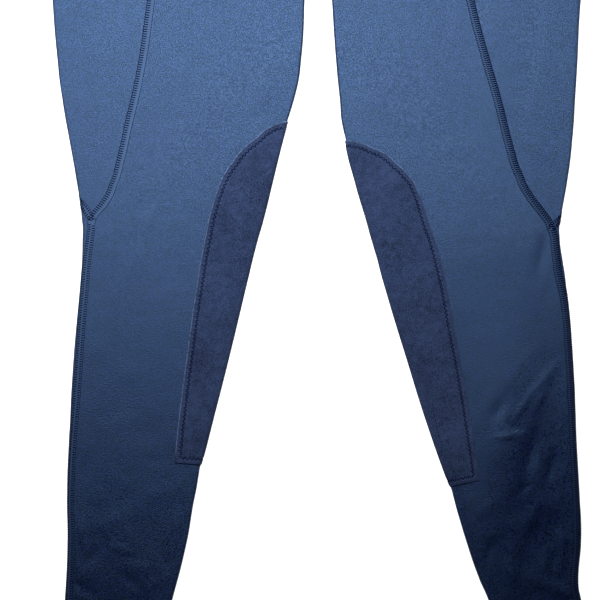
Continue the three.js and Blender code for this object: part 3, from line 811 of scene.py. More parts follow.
@dataclass(frozen=True)
class Jersey:
    """Brushed stretch jersey: a dark navy knit whose fibre ends give a soft blue shine.

    loops, fibres, grain, cloud and drift are its mottle from fine to broad, in spots to a metre.
    roughness runs from the dull to the shiny spots, and pressed comes off it where the nap lies
    smooth. wale is the width of a column of loops and depth how deep the relief is, in millimetres.
    """

    name: str = "navy_jersey"
    dark: Colour = (0.0001, 0.0004, 0.0020)
    light: Colour = (0.0026, 0.0062, 0.0400)
    contrast: tuple[float, float] = (0.42, 0.58)
    roughness: tuple[float, float] = (0.66, 0.36)
    pressed: float = 0.2
    loops: float = 900.0
    fibres: float = 1010.0
    grain: float = 520.0
    cloud: float = 170.0
    drift: float = 24.0
    wale: float = 0.62
    depth: float = 0.4

    def material(self) -> bpy.types.Material:
        """The material of every panel that isn't suede."""
        g = Graph(self.name)
        place = g.place()
        loops = g.noise(place, self.loops, 1.0)
        mottle = g.blend({
            loops: 0.72, g.noise(place, self.grain, 2.0): 0.15,
            g.noise(place, self.cloud, 3.0): 0.07, g.noise(place, self.drift, 3.0): 0.06,
        })
        fibres = g.blend({g.noise(place, self.fibres, 1.0): 0.8, g.noise(place, self.cloud, 3.0): 0.2})
        scale = WAVE_PERIOD / (self.wale * MM)
        inputs = {"Vector": g.place("UV"), "Scale": scale, "Distortion": 1.2, "Detail": 1.0}
        wales = g.add("ShaderNodeTexWave", inputs, bands_direction="X").outputs["Fac"]
        rough = g.remap(mottle, *self.contrast, *self.roughness)
        smoothed = g.maths("MULTIPLY", g.mark("pressed"), self.pressed)
        return g.finish({
            "Base Color": g.mix(g.remap(fibres, *self.contrast), self.dark, self.light),
            "Roughness": g.maths("SUBTRACT", rough, smoothed),
            "Specular IOR Level": 1.0,
            "Specular Tint": SHINE,
            "Normal": g.bump(g.blend({wales: 0.2, loops: 0.8}), 1.0, self.depth),
        })


@dataclass(frozen=True)
class Suede:
    """Short-napped synthetic suede: dull, slightly purple and cloudy where it is brushed.

    edge_highlight is the pale colour painted on its raised cut edge as a highlight, and highlight_breaks the
    spots to a metre that break it up.
    """

    name: str = "navy_suede"
    dark: Colour = (0.0030, 0.0062, 0.0185)
    light: Colour = (0.0215, 0.0365, 0.0910)
    # painted highlight: pale colour of the cut edge's rim, where it faces the light
    edge_highlight: Colour = (0.0950, 0.1400, 0.2450)
    contrast: tuple[float, float] = (0.37, 0.63)
    nap: float = 1050.0
    cloud: float = 150.0
    brushed: float = 26.0
    # scale of the spots that break up the painted edge highlight
    highlight_breaks: float = 420.0

    def material(self) -> bpy.types.Material:
        """The material of the knee patches."""
        g = Graph(self.name)
        place = g.place()
        nap = g.noise(place, self.nap, 2.0)
        cloud, brushed = g.noise(place, self.cloud, 4.0), g.noise(place, self.brushed, 2.0)
        mottle = g.blend({nap: 0.6, cloud: 0.22, brushed: 0.18})
        colour = g.mix(g.remap(mottle, *self.contrast), self.dark, self.light)
        # painted highlight: the cut edge's mark, broken up by spots, mixes in the pale colour
        highlight_breaks = g.remap(g.noise(place, self.highlight_breaks, 1.0), 0.25, 0.55)
        return g.finish({
            "Base Color": g.mix(g.maths("MULTIPLY", g.mark("rim_highlight"), highlight_breaks), colour, self.edge_highlight),
            "Roughness": 0.95,
            "Specular IOR Level": 0.12,
            "Normal": g.bump(nap, 0.9, 0.15),
        })


@dataclass(frozen=True)
class Thread:
    """Dull polyester sewing thread, dark navy unless it is given other colours."""

    name: str = "navy_thread"
    dark: Colour = (0.0003, 0.0010, 0.0080)
    light: Colour = (0.0011, 0.0032, 0.0200)

    def material(self) -> bpy.types.Material:
        """The material of every stitch."""
        g = Graph(self.name)
        return g.finish({
            "Base Color": g.mix(g.noise(g.place(), 400.0), self.dark, self.light),
            "Roughness": 0.85,
            "Specular IOR Level": 0.04,
            "Specular Tint": SHINE,
        })


PALE_THREAD = Thread("pale_thread", (0.0260, 0.0310, 0.0760), (0.0640, 0.0740, 0.1550))


@dataclass(frozen=True)
class SeamCover:
    """The covered band of a flat seam, rougher along a line at both edges and painted dark there as the
    shade of the groove beside it.
    """

    name: str = "seam_cover"
    dark: Colour = (0.0004, 0.0014, 0.0090)
    light: Colour = (0.0042, 0.0060, 0.0300)
    # width of the painted shade line along each edge, in millimetres
    line: float = 0.5

    def material(self) -> bpy.types.Material:
        """The material of the bands. The first axis of their UV runs across them."""
        g = Graph(self.name)
        fine = g.noise(g.place(), 700.0)
        across = g.add("ShaderNodeSeparateXYZ", {0: g.place("UV")}).outputs[0]
        away = g.maths("ABSOLUTE", across)
        # painted shade: the edge lines take the dark colour where the band dips to the panel
        edge = g.remap(away, (BAND_HALF - self.line) * MM, (BAND_HALF - 0.2 * self.line) * MM)
        return g.finish({
            "Base Color": g.mix(edge, g.mix(fine, self.dark, self.light), self.dark),
            "Roughness": g.remap(edge, 0.0, 1.0, 0.58, 0.9),
            "Specular IOR Level": 1.0,
            "Specular Tint": SHINE,
            "Normal": g.bump(fine, 0.5, 0.15),
        })


@dataclass
class Wardrobe:
    """Every finish, made once."""

    jersey: bpy.types.Material = field(default_factory=Jersey().material)
    suede: bpy.types.Material = field(default_factory=Suede().material)
    thread: bpy.types.Material = field(default_factory=Thread().material)
    pale_thread: bpy.types.Material = field(default_factory=PALE_THREAD.material)
    seam: bpy.types.Material = field(default_factory=SeamCover().material)


def sew_on(piece: bpy.types.Object, slot: str, *nodes: str) -> None:
    """Rides a piece on the body and hides the solids that it stands for."""
    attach(piece, "root")
    if nodes:
        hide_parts(*nodes)
    log.info("%s: %d faces", piece.name, len(piece.data.polygons))


def girth_uv(girth: Array, lines: Sections) -> Array:
    """Place in the flat cloth of frames at girths along lines."""
    rows = np.broadcast_to(lines.inner[:, 1][:, None], girth.shape)
    return np.stack([girth, rows], axis=-1)


@dataclass
class LegPanels:
    """The jersey panels of one leg.

    fold_cloth is where the columns round the inner fold start and end in the flat cloth, past
    the last flat one. The hem is thicker by hem_extra up to hem_turn, over the width of hem_step.
    """

    leg: Leg
    wardrobe: Wardrobe
    front_columns: int = 60
    fold_columns: int = 13
    fold_cloth: tuple[float, float] = (0.4, 4.2)
    side_columns: int = 46
    back_columns: int = 40
    hem_turn: float = 22.0
    hem_extra: float = 0.45
    hem_step: tuple[float, float] = (-1.5, 1.0)

    def wall(self, lines: Sections, grid: Frames) -> tuple[Array, Array]:
        """Offsets of a panel's inner and outer face.

        The face on the table stays back for the seams' covers, which lie level with the table.
        """
        up = grid.normal[..., 2]
        hem = smoothstep(HEM + self.hem_turn - lines.inner[:, 1], *self.hem_step)[:, None]
        inside = -CLOTH / 2 - self.hem_extra * hem * np.clip(-up, 0, 1)
        outside = CLOTH / 2 + self.hem_extra * hem * np.clip(up, 0, 1)
        return inside, outside - COVER * np.clip(-up, 0, 1)

    def panel(
        self, part: str, lines: Sections, grid: Frames, girth: Array, marks: dict | None = None
    ) -> None:
        """Makes and dresses a panel.

        Args:
            part: front, back or side.
            lines: the lines across the leg that it has.
            grid: its middle surface, which is raised where its wall would pass the table.
            girth: distance across the flat cloth of each frame.
            marks: what the material reads.
        """
        name = f"{part}_{self.leg.shape.name}"
        inside, outside = self.wall(lines, grid)
        grid.point[..., 2] = np.maximum(grid.point[..., 2], -grid.normal[..., 2] * outside)
        uv = girth_uv(girth, lines)
        side = self.leg.shape.side
        piece = shell(f"{name}_cloth", grid, inside, outside, uv, self.wardrobe.jersey, side, marks)
        sew_on(piece, "jersey", name)

    def front(self) -> None:
        """The front panel, from the side panel's seam round the inner fold."""
        leg = self.leg
        lines = leg.lines()
        start = leg.front_seam(lines) + SEAM_GAP / 2
        end = lines.width - np.where(lines.seamed, SEAM_COLUMNS, 0)
        flat = evenly(start, end, self.front_columns)
        angles = np.linspace(FOLD_END, -FRONT_WRAP, self.fold_columns)
        grid = leg.flat(lines, flat, Layer.FRONT).joined(leg.centre_columns(lines, angles))
        turned = end[:, None] + np.linspace(*self.fold_cloth, self.fold_columns)
        pressed = sum(mark.height(grid.point[..., 0], grid.point[..., 1]) for mark in leg.shape.pressed)
        self.panel(
            "front", lines, grid, np.concatenate([flat, turned], axis=1),
            {"pressed": np.clip(pressed, 0, 1)},
        )

    def back(self) -> None:
        """The back panel, which lies on the table."""
        leg = self.leg
        lines = leg.lines()
        start = leg.back_seam(lines) - SEAM_GAP / 2
        girth = spread(start, -QUARTER - lines.width, self.back_columns)
        wrap = (90 - FRONT_WRAP) / 90 * QUARTER - SEAM_GAP / 2
        turned = np.full((len(start), 2), -QUARTER) + np.array([wrap / 2, wrap])
        seam = leg.flat(lines, np.repeat(lines.width[:, None], 2, axis=1), Layer.BACK)
        kind = np.where(lines.seamed, 0, 1)[:, None]
        last = Frames.chosen(kind, seam, leg.wrapped(lines, turned, inner=True))
        grid = leg.wrapped(lines, girth).joined(last)
        grid.point[lines.seamed, -2:, 0] = SEAM_GAP / 2
        ends = girth[:, -1:] - np.array([0.5, 1.0])
        self.panel("back", lines, grid, np.concatenate([girth, ends], axis=1))

    def side(self) -> None:
        """The side panel, which goes round the outer fold of the hip and thigh."""
        leg = self.leg
        lines = leg.lines()
        lines = lines.where(lines.outer[:, 1] > leg.shape.junction + PANEL_TIP / 2)
        start = QUARTER + leg.front_seam(lines) - SEAM_GAP / 2
        girth = spread(start, leg.back_seam(lines) + SEAM_GAP / 2, self.side_columns)
        self.panel("side", lines, leg.wrapped(lines, girth), girth)


@dataclass
class Patch:
    """A suede patch over the inner knee, laid on the panels and pressed down by its stitches.

    rise, edge_rise and groove_rise are the height of its face over the cloth's middle, inside
    the stitches, outside them and along them, and clearance that of its other face over the
    cloth. top_rows are the closer rows at its curved top, as start, end and spacing below it.
    edge_columns lie that far in from either edge, in no more than edge_share of a row. rim_highlight is
    the width of the highlight painted on its raised cut edge, which fades below its curve and ends above
    its foot, where shade falls. Its creases are where its face points up by more than upward.
    """

    leg: Leg
    wardrobe: Wardrobe
    columns: int = 60
    row_spacing: float = 1.6
    top_rows: Rows = ((0, 12, 0.75), (12, 40, 1.5))
    edge_columns: Sequence[float] = (0, 0.3, 0.8, 1.6, 2.6, 3.4, 4.2, 5.0, 5.8, 6.6, 7.6, 8.8)
    edge_share: float = 0.45
    upward: float = 0.2
    clearance: float = 0.05
    stitch_inset: float = 5.0
    groove_width: float = 1.7
    puff_width: float = 4.0
    rise: float = 1.75
    edge_rise: float = 1.5
    groove_rise: float = 1.2
    edge_drop: float = 0.35
    edge_round: float = 0.7
    # width of the painted highlight on the cut edge, then where it fades below the curve and where it ends
    # above the foot
    rim_highlight: float = 0.68
    rim_highlight_fade: tuple[float, float] = (70.0, 25.0)
    rim_highlight_end: tuple[float, float] = (6.0, 16.0)

    def lines(self) -> Sections:
        """Lines under the patch, closer together at its curved top."""
        s = self.leg.shape
        drops = np.concatenate([np.arange(*row) for row in self.top_rows])
        even = np.arange(s.patch_top - self.top_rows[-1][1], s.patch_foot, -self.row_spacing)
        return self.leg.leg_lines(np.concatenate([s.patch_top - drops, even, [s.patch_foot]]))

    def reach(self, lines: Sections) -> Array:
        """Girth from the inner edge to the patch's front edge, on each line."""
        width = lines.width
        return QUARTER + width - np.minimum(self.leg.meet(lines, self.leg.curves["patch"]), width - 1)

    def unrolled(self, lines: Sections, girth: Array) -> Array:
        """Frames' places in the plane, with the back of the patch folded out beside the front."""
        edge = lines.inner + lines.inward * EDGE
        return edge[:, None] - lines.inward[:, None] * girth[..., None]

    def border(self, lines: Sections) -> Array:
        """The patch's outline in the unrolled plane."""
        reach = self.reach(lines)
        front = self.unrolled(lines, reach[:, None])[:, 0]
        back = self.unrolled(lines, -PATCH_BACK_SHARE * reach[:, None])[:, 0]
        top = back[0] + (front[0] - back[0]) * np.linspace(0, 1, 20)[:, None]
        foot = front[-1] + (back[-1] - front[-1]) * np.linspace(0, 1, 60)[:, None]
        return np.concatenate([top, front[1:-1], foot, back[-2:0:-1]])

    def from_edge(self, lines: Sections, girth: Array) -> Array:
        """Distance of each place from the patch's cut edge."""
        places = self.unrolled(lines, girth)
        return np.linalg.norm(places[:, :, None] - self.border(lines), axis=-1).min(axis=-1)

    def thickness(self, away: Array) -> Array:
        """Height of the suede's face over the cloth's middle, by the distance from the edge."""
        puff = smoothstep(away, self.stitch_inset, self.stitch_inset + self.puff_width)
        groove = np.exp(-(((away - self.stitch_inset) / self.groove_width) ** 2))
        height = self.edge_rise + (self.rise - self.edge_rise) * puff
        height = height - (self.edge_rise - self.groove_rise) * groove
        return height - self.edge_drop * (1 - smoothstep(away, 0, self.edge_round))

    def rim_highlight_share(self, away: Array, y: Array) -> Array:
        """How strong the highlight painted on the cut edge is: most along its curve, which faces the light,
        and none at the foot, which lies in shade.
        """
        shape = self.leg.shape
        low = shape.rim_highlight_low
        along = low + (1 - low) * smoothstep(y, *(shape.patch_top - drop for drop in self.rim_highlight_fade))
        along = along * smoothstep(y, *(shape.patch_foot + rise for rise in self.rim_highlight_end))
        # painted highlight: brightest on the curve that faces the light, gone at the foot where shade falls
        return np.exp(-((away / self.rim_highlight) ** 2)) * along

    def build(self) -> None:
        """The patch itself."""
        leg, name = self.leg, self.leg.shape.name
        lines = self.lines()
        reach = self.reach(lines)
        span = (1 + PATCH_BACK_SHARE) * reach
        border = np.array(self.edge_columns)
        near = np.minimum(border / span[:, None], self.edge_share * border / border[-1])
        middle = evenly(near[:, -1], 1 - near[:, -1], self.columns)[:, 1:-1]
        share = np.concatenate([near, middle, 1 - near[:, ::-1]], axis=1)
        girth = reach[:, None] - span[:, None] * share
        grid = leg.wrapped(lines, girth, inner=True)
        away = self.from_edge(lines, girth)
        u, y = grid.point[..., 0], grid.point[..., 1]
        marks = sum(mark.height(u, y) for mark in leg.shape.patch_marks)
        marks = marks * (grid.normal[..., 2] > self.upward)
        # the suede carries the painted edge highlight as a mark
        piece = shell(
            f"knee_patch_{name}_suede", grid, CLOTH / 2 + self.clearance, self.thickness(away) + marks,
            girth_uv(girth, lines), self.wardrobe.suede, leg.shape.side, {"rim_highlight": self.rim_highlight_share(away, y)},
        )
        sew_on(piece, "suede", f"knee_patch_{name}")


@dataclass
class SeamLine:
    """A line of sewing along a leg, as a girth on each line across the leg.

    The girth is measured from the outer edge, or from the inner edge where inner is set.
    """

    leg: Leg
    lines: Sections
    girth: Array
    inner: bool = False

    def around(self, offsets: Sequence[float]) -> Frames:
        """Frames at offsets straight across the line of sewing."""
        middle = self.girth[:, None]
        along = np.gradient(self.leg.wrapped(self.lines, middle, self.inner).point[:, 0], axis=0)
        ends = self.leg.wrapped(self.lines, middle + np.array([-0.5, 0.5]), self.inner).point
        across = ends[:, 1] - ends[:, 0]
        cos = (along * across).sum(axis=1) / np.linalg.norm(along, axis=1) / np.linalg.norm(across, axis=1)
        stretch = 1 / np.sqrt(np.clip(1 - cos**2, LEAST_CROSSING, 1))
        girth = middle + stretch[:, None] * np.asarray(offsets, float)
        return self.leg.wrapped(self.lines, girth, self.inner)

    def where(self, keep: Array) -> "SeamLine":
        """The part of it on the lines that keep picks."""
        return SeamLine(self.leg, self.lines.where(keep), self.girth[keep], self.inner)


@dataclass(frozen=True)
class Stitch:
    """One column of stitches beside a line of sewing.

    offset is its middle's distance from the line, span and width the stitch's size, pitch the
    distance from stitch to stitch, start the first one's share of that, and slant its angle to
    the line, which changes sides from stitch to stitch where zigzag is set.
    """

    offset: float
    span: float
    width: float
    pitch: float = 2.2
    slant: float = 84.0
    start: float = 0.5
    zigzag: bool = False


def needle(offset: float) -> Stitch:
    """A row of needle thread along a band."""
    return Stitch(offset, 2.3, 0.55, slant=0.0, start=0.1)


class Pattern(Enum):
    """The sewing patterns of the breeches, and a line of dark thread painted as a patch's shadow."""

    LADDER = (
        Stitch(-1.4, 4.2, 1.25), Stitch(-3.4, 1.7, 0.95, slant=0.0, start=0.1),
        Stitch(3.35, 1.15, 0.75, pitch=2.4, slant=0.0),
    )
    DENSE = (
        Stitch(-2.2, 2.8, 1.65, pitch=2.05), Stitch(0.35, 2.4, 1.45, pitch=2.05, start=0.7),
        Stitch(2.5, 1.9, 0.95, pitch=2.05), needle(-3.6), needle(-0.95), needle(3.55),
    )
    CHECKER = (Stitch(-1.65, 2.9, 1.35), Stitch(1.65, 2.9, 1.35, start=1.0), needle(-3.3), needle(3.3))
    SINGLE = (Stitch(0.0, 2.1, 0.6, pitch=2.9, slant=0.0),)
    ZIGZAG = (Stitch(0.0, 3.4, 0.95, pitch=2.0, slant=60.0, zigzag=True),)
    PALE_DOTS = (
        Stitch(-2.2, 1.1, 0.8, pitch=4.0, slant=20.0),
        Stitch(2.2, 1.1, 0.8, pitch=4.0, slant=20.0, start=1.0),
    )
    PALE_LOOPS = (Stitch(1.6, 1.1, 0.55, start=0.6), Stitch(2.6, 0.7, 0.5, start=0.1, slant=30.0))
    # painted shadow: a continuous line of dark thread, stitches longer than their pitch, for the shadow
    # under a patch's foot
    SHADOW_LINE = (Stitch(0.0, 2.4, 1.0, slant=0.0),)


@dataclass
class Sewing:
    """Stitches gathered for one object: their middles, directions and sizes.

    length and width are those of a thread before each stitch's own size is applied. height is
    every stitch's own, and slack and seed make them lie a little unevenly. Points of a path that
    are closer than least_step count as one.
    """

    name: str
    length: float = 1.0
    width: float = 1.0
    height: float = 0.5
    slack: float = 0.08
    seed: int = 11
    least_step: float = 0.05
    points: list[Array] = field(default_factory=list)
    along: list[Array] = field(default_factory=list)
    up: list[Array] = field(default_factory=list)
    size: list[Array] = field(default_factory=list)

    def sew(self, stitch: Stitch, line: Frames, side: int, rise: float) -> None:
        """Adds one column of stitches, none of which passes under the table.

        Args:
            stitch: its pattern.
            line: its path as one column of frames.
            side: -1 on the left leg.
            rise: height of the stitches' middles over the frames.
        """
        path, normal = line.moved(rise)[:, 0], line.normal[:, 0]
        steps = np.linalg.norm(np.diff(path, axis=0), axis=1)
        keep = np.concatenate([[True], steps > self.least_step])
        path, normal = path[keep], normal[keep]
        run = np.concatenate([[0], np.cumsum(np.linalg.norm(np.diff(path, axis=0), axis=1))])
        at = np.arange(stitch.start * stitch.pitch, run[-1], stitch.pitch)
        point, up, tangent = (
            np.stack([np.interp(at, run, column) for column in values.T], axis=1)
            for values in (path, normal, np.gradient(path, run, axis=0))
        )
        tangent = unit(tangent)
        slant = np.full(len(at), math.radians(stitch.slant))
        if stitch.zigzag:
            slant[1::2] *= -1
        along = tangent * np.cos(slant)[:, None] + np.cross(up, tangent) * np.sin(slant)[:, None]
        tilts = np.abs(np.stack([along[:, 2], np.cross(up, along)[:, 2], up[:, 2]], axis=1))
        point[:, 2] = np.maximum(point[:, 2], tilts @ [stitch.span, stitch.width, self.height] / 2)
        mirror = np.array([side, 1, 1])
        self.points.append(Place.metres(point, side))
        self.along.append(along * mirror)
        self.up.append(up * mirror)
        self.size.append(np.tile([stitch.span, stitch.width, 1.0], (len(at), 1)))

    def tree(self) -> bpy.types.NodeTree:
        """The node group that lays one thread on each point."""
        tree = bpy.data.node_groups.new(f"{self.name}_nodes", "GeometryNodeTree")
        kinds = {
            "Geometry": "Geometry", "Length": "Float", "Width": "Float", "Height": "Float",
            "Slack": "Float", "Seed": "Int", "Material": "Material",
        }
        for name, kind in kinds.items():
            tree.interface.new_socket(name, in_out="INPUT", socket_type=f"NodeSocket{kind}")
        tree.interface.new_socket("Geometry", in_out="OUTPUT", socket_type="NodeSocketGeometry")
        add = partial(add_node, tree)
        given = add("NodeGroupInput").outputs
        bead = add("GeometryNodeMeshUVSphere", {"Segments": 6, "Rings": 4, "Radius": 0.5})
        lying = add("GeometryNodeTransform", {"Geometry": bead.outputs[0], "Rotation": (0, math.pi / 2, 0)})
        size = add("ShaderNodeCombineXYZ", {"X": given["Length"], "Y": given["Width"], "Z": given["Height"]})
        thread = add("GeometryNodeTransform", {"Geometry": lying.outputs[0], "Scale": size.outputs[0]})
        along, up, scale = (
            add("GeometryNodeInputNamedAttribute", {"Name": name}, data_type="FLOAT_VECTOR").outputs[0]
            for name in ("along", "up", "size")
        )
        axes = {"primary_axis": "Z", "secondary_axis": "X"}
        turn = add("FunctionNodeAxesToRotation", {0: up, 1: along}, **axes)
        low = add("ShaderNodeMath", {0: 0.0, 1: given["Slack"]}, operation="SUBTRACT")
        limits = {2: low.outputs[0], 3: given["Slack"], "Seed": given["Seed"]}
        angle = add("FunctionNodeRandomValue", limits)
        sway = add("FunctionNodeAxisAngleToRotation", {"Axis": (0, 0, 1), "Angle": angle.outputs[1]})
        both = {0: turn.outputs[0], 1: sway.outputs[0]}
        swayed = add("FunctionNodeRotateRotation", both, rotation_space="LOCAL")
        laid = add("GeometryNodeInstanceOnPoints", {
            "Points": given["Geometry"], "Instance": thread.outputs[0],
            "Rotation": swayed.outputs[0], "Scale": scale,
        })
        real = add("GeometryNodeRealizeInstances", {"Geometry": laid.outputs[0]})
        smooth = add("GeometryNodeSetShadeSmooth", {"Geometry": real.outputs[0]})
        dressed = {"Geometry": smooth.outputs[0], "Material": given["Material"]}
        finish = add("GeometryNodeSetMaterial", dressed)
        add("NodeGroupOutput", {0: finish.outputs[0]})
        return tree

    def build(self, material: bpy.types.Material) -> None:
        """Makes the threads as one mesh."""
        points = np.concatenate(self.points)
        mesh = bpy.data.meshes.new(f"{self.name}_points")
        mesh.from_pydata(points.tolist(), [], [])
        marks = {"along": self.along, "up": self.up, "size": self.size}
        for name, values in marks.items():
            write_attribute(mesh, name, np.concatenate(values))
        holder = add_object(f"{self.name}_points", mesh)
        modifier = holder.modifiers.new("sewing", "NODES")
        modifier.node_group = self.tree()
        given = {
            "Length": self.length * MM, "Width": self.width * MM, "Height": self.height * MM,
            "Slack": self.slack, "Seed": self.seed, "Material": material,
        }
        for item in modifier.node_group.interface.items_tree:
            if item.in_out == "INPUT" and item.name in given:
                modifier[item.identifier] = given[item.name]
        done = holder.evaluated_get(bpy.context.evaluated_depsgraph_get())
        sewn = bpy.data.meshes.new_from_object(done)
        for name in marks:
            if name in sewn.attributes:
                sewn.attributes.remove(sewn.attributes[name])
        bpy.data.objects.remove(holder)
        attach(add_object(self.name, sewn), "root")
        log.info("%s: %d stitches, %d faces", self.name, len(points), len(sewn.polygons))


@dataclass
class Seams:
    """The seam covers and all the thread of one leg.

    profile is a cover's height from edge to edge, as rows of (share of half its width, share of
    its thickness).
    """

    leg: Leg
    wardrobe: Wardrobe
    patch_gap: float = 4.0
    loops_end: float = -120.0
    profile: Rows = (
        (-1, 0.02), (-0.95, 0.6), (-0.84, 0.9), (-0.62, 1), (-0.32, 1), (-0.08, 0.85), (0, 0.7),
        (0.08, 0.85), (0.32, 1), (0.62, 1), (0.84, 0.9), (0.95, 0.6), (1, 0.02),
    )

    def cover(self, part: str, line: SeamLine, low: float = -1.0, high: float = 1.0) -> None:
        """A thin band over a seam.

        Args:
            part: the seam's name.
            line: the seam.
            low: where it starts across, as a share of half its width.
            high: where it ends across.
        """
        shares, rises = np.array([row for row in self.profile if low <= row[0] <= high], float).T
        offsets = shares * BAND_HALF
        grid = line.around(offsets)
        down = np.clip(-grid.normal[..., 2], 0, 1)
        base = CLOTH / 2 - COVER * down
        outside = base + COVER * rises * (1 - 0.6 * down)
        run = np.cumsum(np.linalg.norm(np.diff(grid.point[:, 0], axis=0, prepend=grid.point[:1, 0]), axis=1))
        uv = np.stack(np.broadcast_arrays(offsets[None], run[:, None]), axis=-1)
        name, side = f"seam_{part}_{self.leg.shape.name}", self.leg.shape.side
        sew_on(shell(name, grid, base - COVER, outside, uv, self.wardrobe.seam, side), "jersey")

    def thread(self, sewing: Sewing, pattern: Pattern, line: SeamLine) -> None:
        """Sews a pattern along a line."""
        for stitch in pattern.value:
            sewing.sew(stitch, line.around([stitch.offset]), self.leg.shape.side, CLOTH / 2 + COVER)

    def build(self) -> None:
        """Covers and sews every seam."""
        leg, shape = self.leg, self.leg.shape
        left = shape.side < 0
        lines = leg.lines()
        height = lines.outer[:, 1]
        above = height >= shape.junction
        half = lines.width + SEAM_GAP / 2
        outer = SeamLine(leg, lines, QUARTER + leg.front_seam(lines))
        back = SeamLine(leg, lines, leg.back_seam(lines)).where(above)
        inseam = SeamLine(leg, lines, np.full_like(half, -FRONT_WRAP / 90 * QUARTER), True)
        level = lines.inner[:, 1]
        high = inseam.where(~lines.seamed & (level > shape.patch_top + self.patch_gap))
        low = inseam.where(~lines.seamed & (level < shape.patch_foot - self.patch_gap))
        centre = SeamLine(leg, lines, QUARTER + half).where(lines.seamed & np.isnan(lines.apex))
        rear = SeamLine(leg, lines, -QUARTER - half).where(lines.seamed)
        for part, line in {"outer": outer, "back": back, "inner_high": high, "inner_low": low}.items():
            self.cover(part, line)
        self.cover("centre", centre, high=0.0)
        self.cover("rear", rear, low=0.0)
        if left:
            loops = Sewing(f"seam_loops_{shape.name}")
            self.thread(loops, Pattern.PALE_LOOPS, outer.where(height > self.loops_end))
            loops.build(self.wardrobe.pale_thread)
        threads = Sewing(f"seam_stitches_{shape.name}")
        self.thread(threads, Pattern.LADDER if left else Pattern.DENSE, outer.where(above))
        self.thread(threads, Pattern.CHECKER if left else Pattern.DENSE, outer.where(~above))
        self.thread(threads, Pattern.CHECKER, back)
        self.thread(threads, Pattern.LADDER, high)
        self.thread(threads, Pattern.LADDER, low)
        self.thread(threads, Pattern.SINGLE, centre)
        threads.build(self.wardrobe.thread)


@dataclass
class PatchSewing:
    """The rows of stitches that hold a patch, and a line of dark thread under its foot painted as its
    shadow.

    groove_lift and shadow_lift are their height over the groove and, for the painted shadow line, over the
    cloth below the foot.
    A moved outline keeps the points that are at least kept_share of the distance away.
    """

    patch: Patch
    wardrobe: Wardrobe
    steps: int = 60
    # how far below the patch's foot the painted shadow line of dark thread lies
    shadow_drop: float = 0.5
    groove_lift: float = 0.2
    # height of the painted shadow line over the cloth
    shadow_lift: float = 0.1
    kept_share: float = 0.96

    def onto(self, places: Array) -> Frames:
        """Frames on the cloth under places in the patch's unrolled plane."""
        leg, y = self.patch.leg, places[:, 1].copy()
        for _ in range(8):
            lines = leg.leg_lines(y)
            edge = lines.inner + lines.inward * EDGE
            girth = -((places - edge) * lines.inward).sum(axis=1)
            y += places[:, 1] - (edge[:, 1] - lines.inward[:, 1] * girth)
        return leg.wrapped(leg.leg_lines(y), girth[:, None], inner=True)

    def inset(self, distance: float) -> Array:
        """The patch's outline moved inwards by a distance."""
        border = self.patch.border(self.patch.lines())
        ahead = np.roll(border, -1, axis=0) - np.roll(border, 1, axis=0)
        across = unit(np.stack([-ahead[:, 1], ahead[:, 0]], axis=1))
        turn = np.sign(np.cross(border - border.mean(axis=0), ahead).sum())
        moved = border + across * distance * turn
        gaps = np.linalg.norm(moved[:, None] - border[None], axis=-1).min(axis=1)
        kept = moved[gaps > self.kept_share * distance]
        return np.concatenate([kept, kept[:1]])

    def foot(self) -> Array:
        """Places along the patch's foot, just below its edge, for the painted shadow line."""
        lines = self.patch.lines()
        last = lines.where(np.arange(len(lines.width)) == len(lines.width) - 1)
        reach = self.patch.reach(last)[0]
        girth = np.linspace(reach, -PATCH_BACK_SHARE * reach, self.steps)
        return self.patch.unrolled(last, girth[None])[0] + np.array([0.0, -self.shadow_drop])

    def spare(self) -> Array:
        """Places along the row of stitches that is on this patch alone."""
        places = np.array(self.patch.leg.shape.spare_row, float)
        at = np.linspace(0, len(places) - 1, self.steps)
        return np.stack([np.interp(at, range(len(places)), column) for column in places.T], axis=1)

    def specks(self, path: Frames, rise: float) -> None:
        """Pale specks of the thread's other side, to both sides of the zigzag."""
        shape = self.patch.leg.shape
        sewing = Sewing(f"patch_specks_{shape.name}")
        across = unit(np.cross(path.normal[:, 0], np.gradient(path.point[:, 0], axis=0)))
        for stitch in Pattern.PALE_DOTS.value:
            line = Frames(path.point + (across * stitch.offset)[:, None], path.normal)
            sewing.sew(stitch, line, shape.side, rise)
        sewing.build(self.wardrobe.pale_thread)

    def build(self) -> None:
        """Sews the patch on."""
        shape = self.patch.leg.shape
        groove = self.patch.groove_rise + self.groove_lift
        path = self.onto(self.inset(self.patch.stitch_inset))
        self.specks(path, groove)
        # painted shadow: the dark thread line under the foot stands in for the shadow the raised patch casts
        foot = self.onto(self.foot())
        rows = [(Pattern.ZIGZAG, path, groove), (Pattern.SHADOW_LINE, foot, CLOTH / 2 + self.shadow_lift)]
        if shape.spare_row:
            rows.append((Pattern.SINGLE, self.onto(self.spare()), self.patch.rise))
        thread = Sewing(f"patch_stitches_{shape.name}")
        for pattern, line, rise in rows:
            for stitch in pattern.value:
                thread.sew(stitch, line, shape.side, rise)
        thread.build(self.wardrobe.thread)


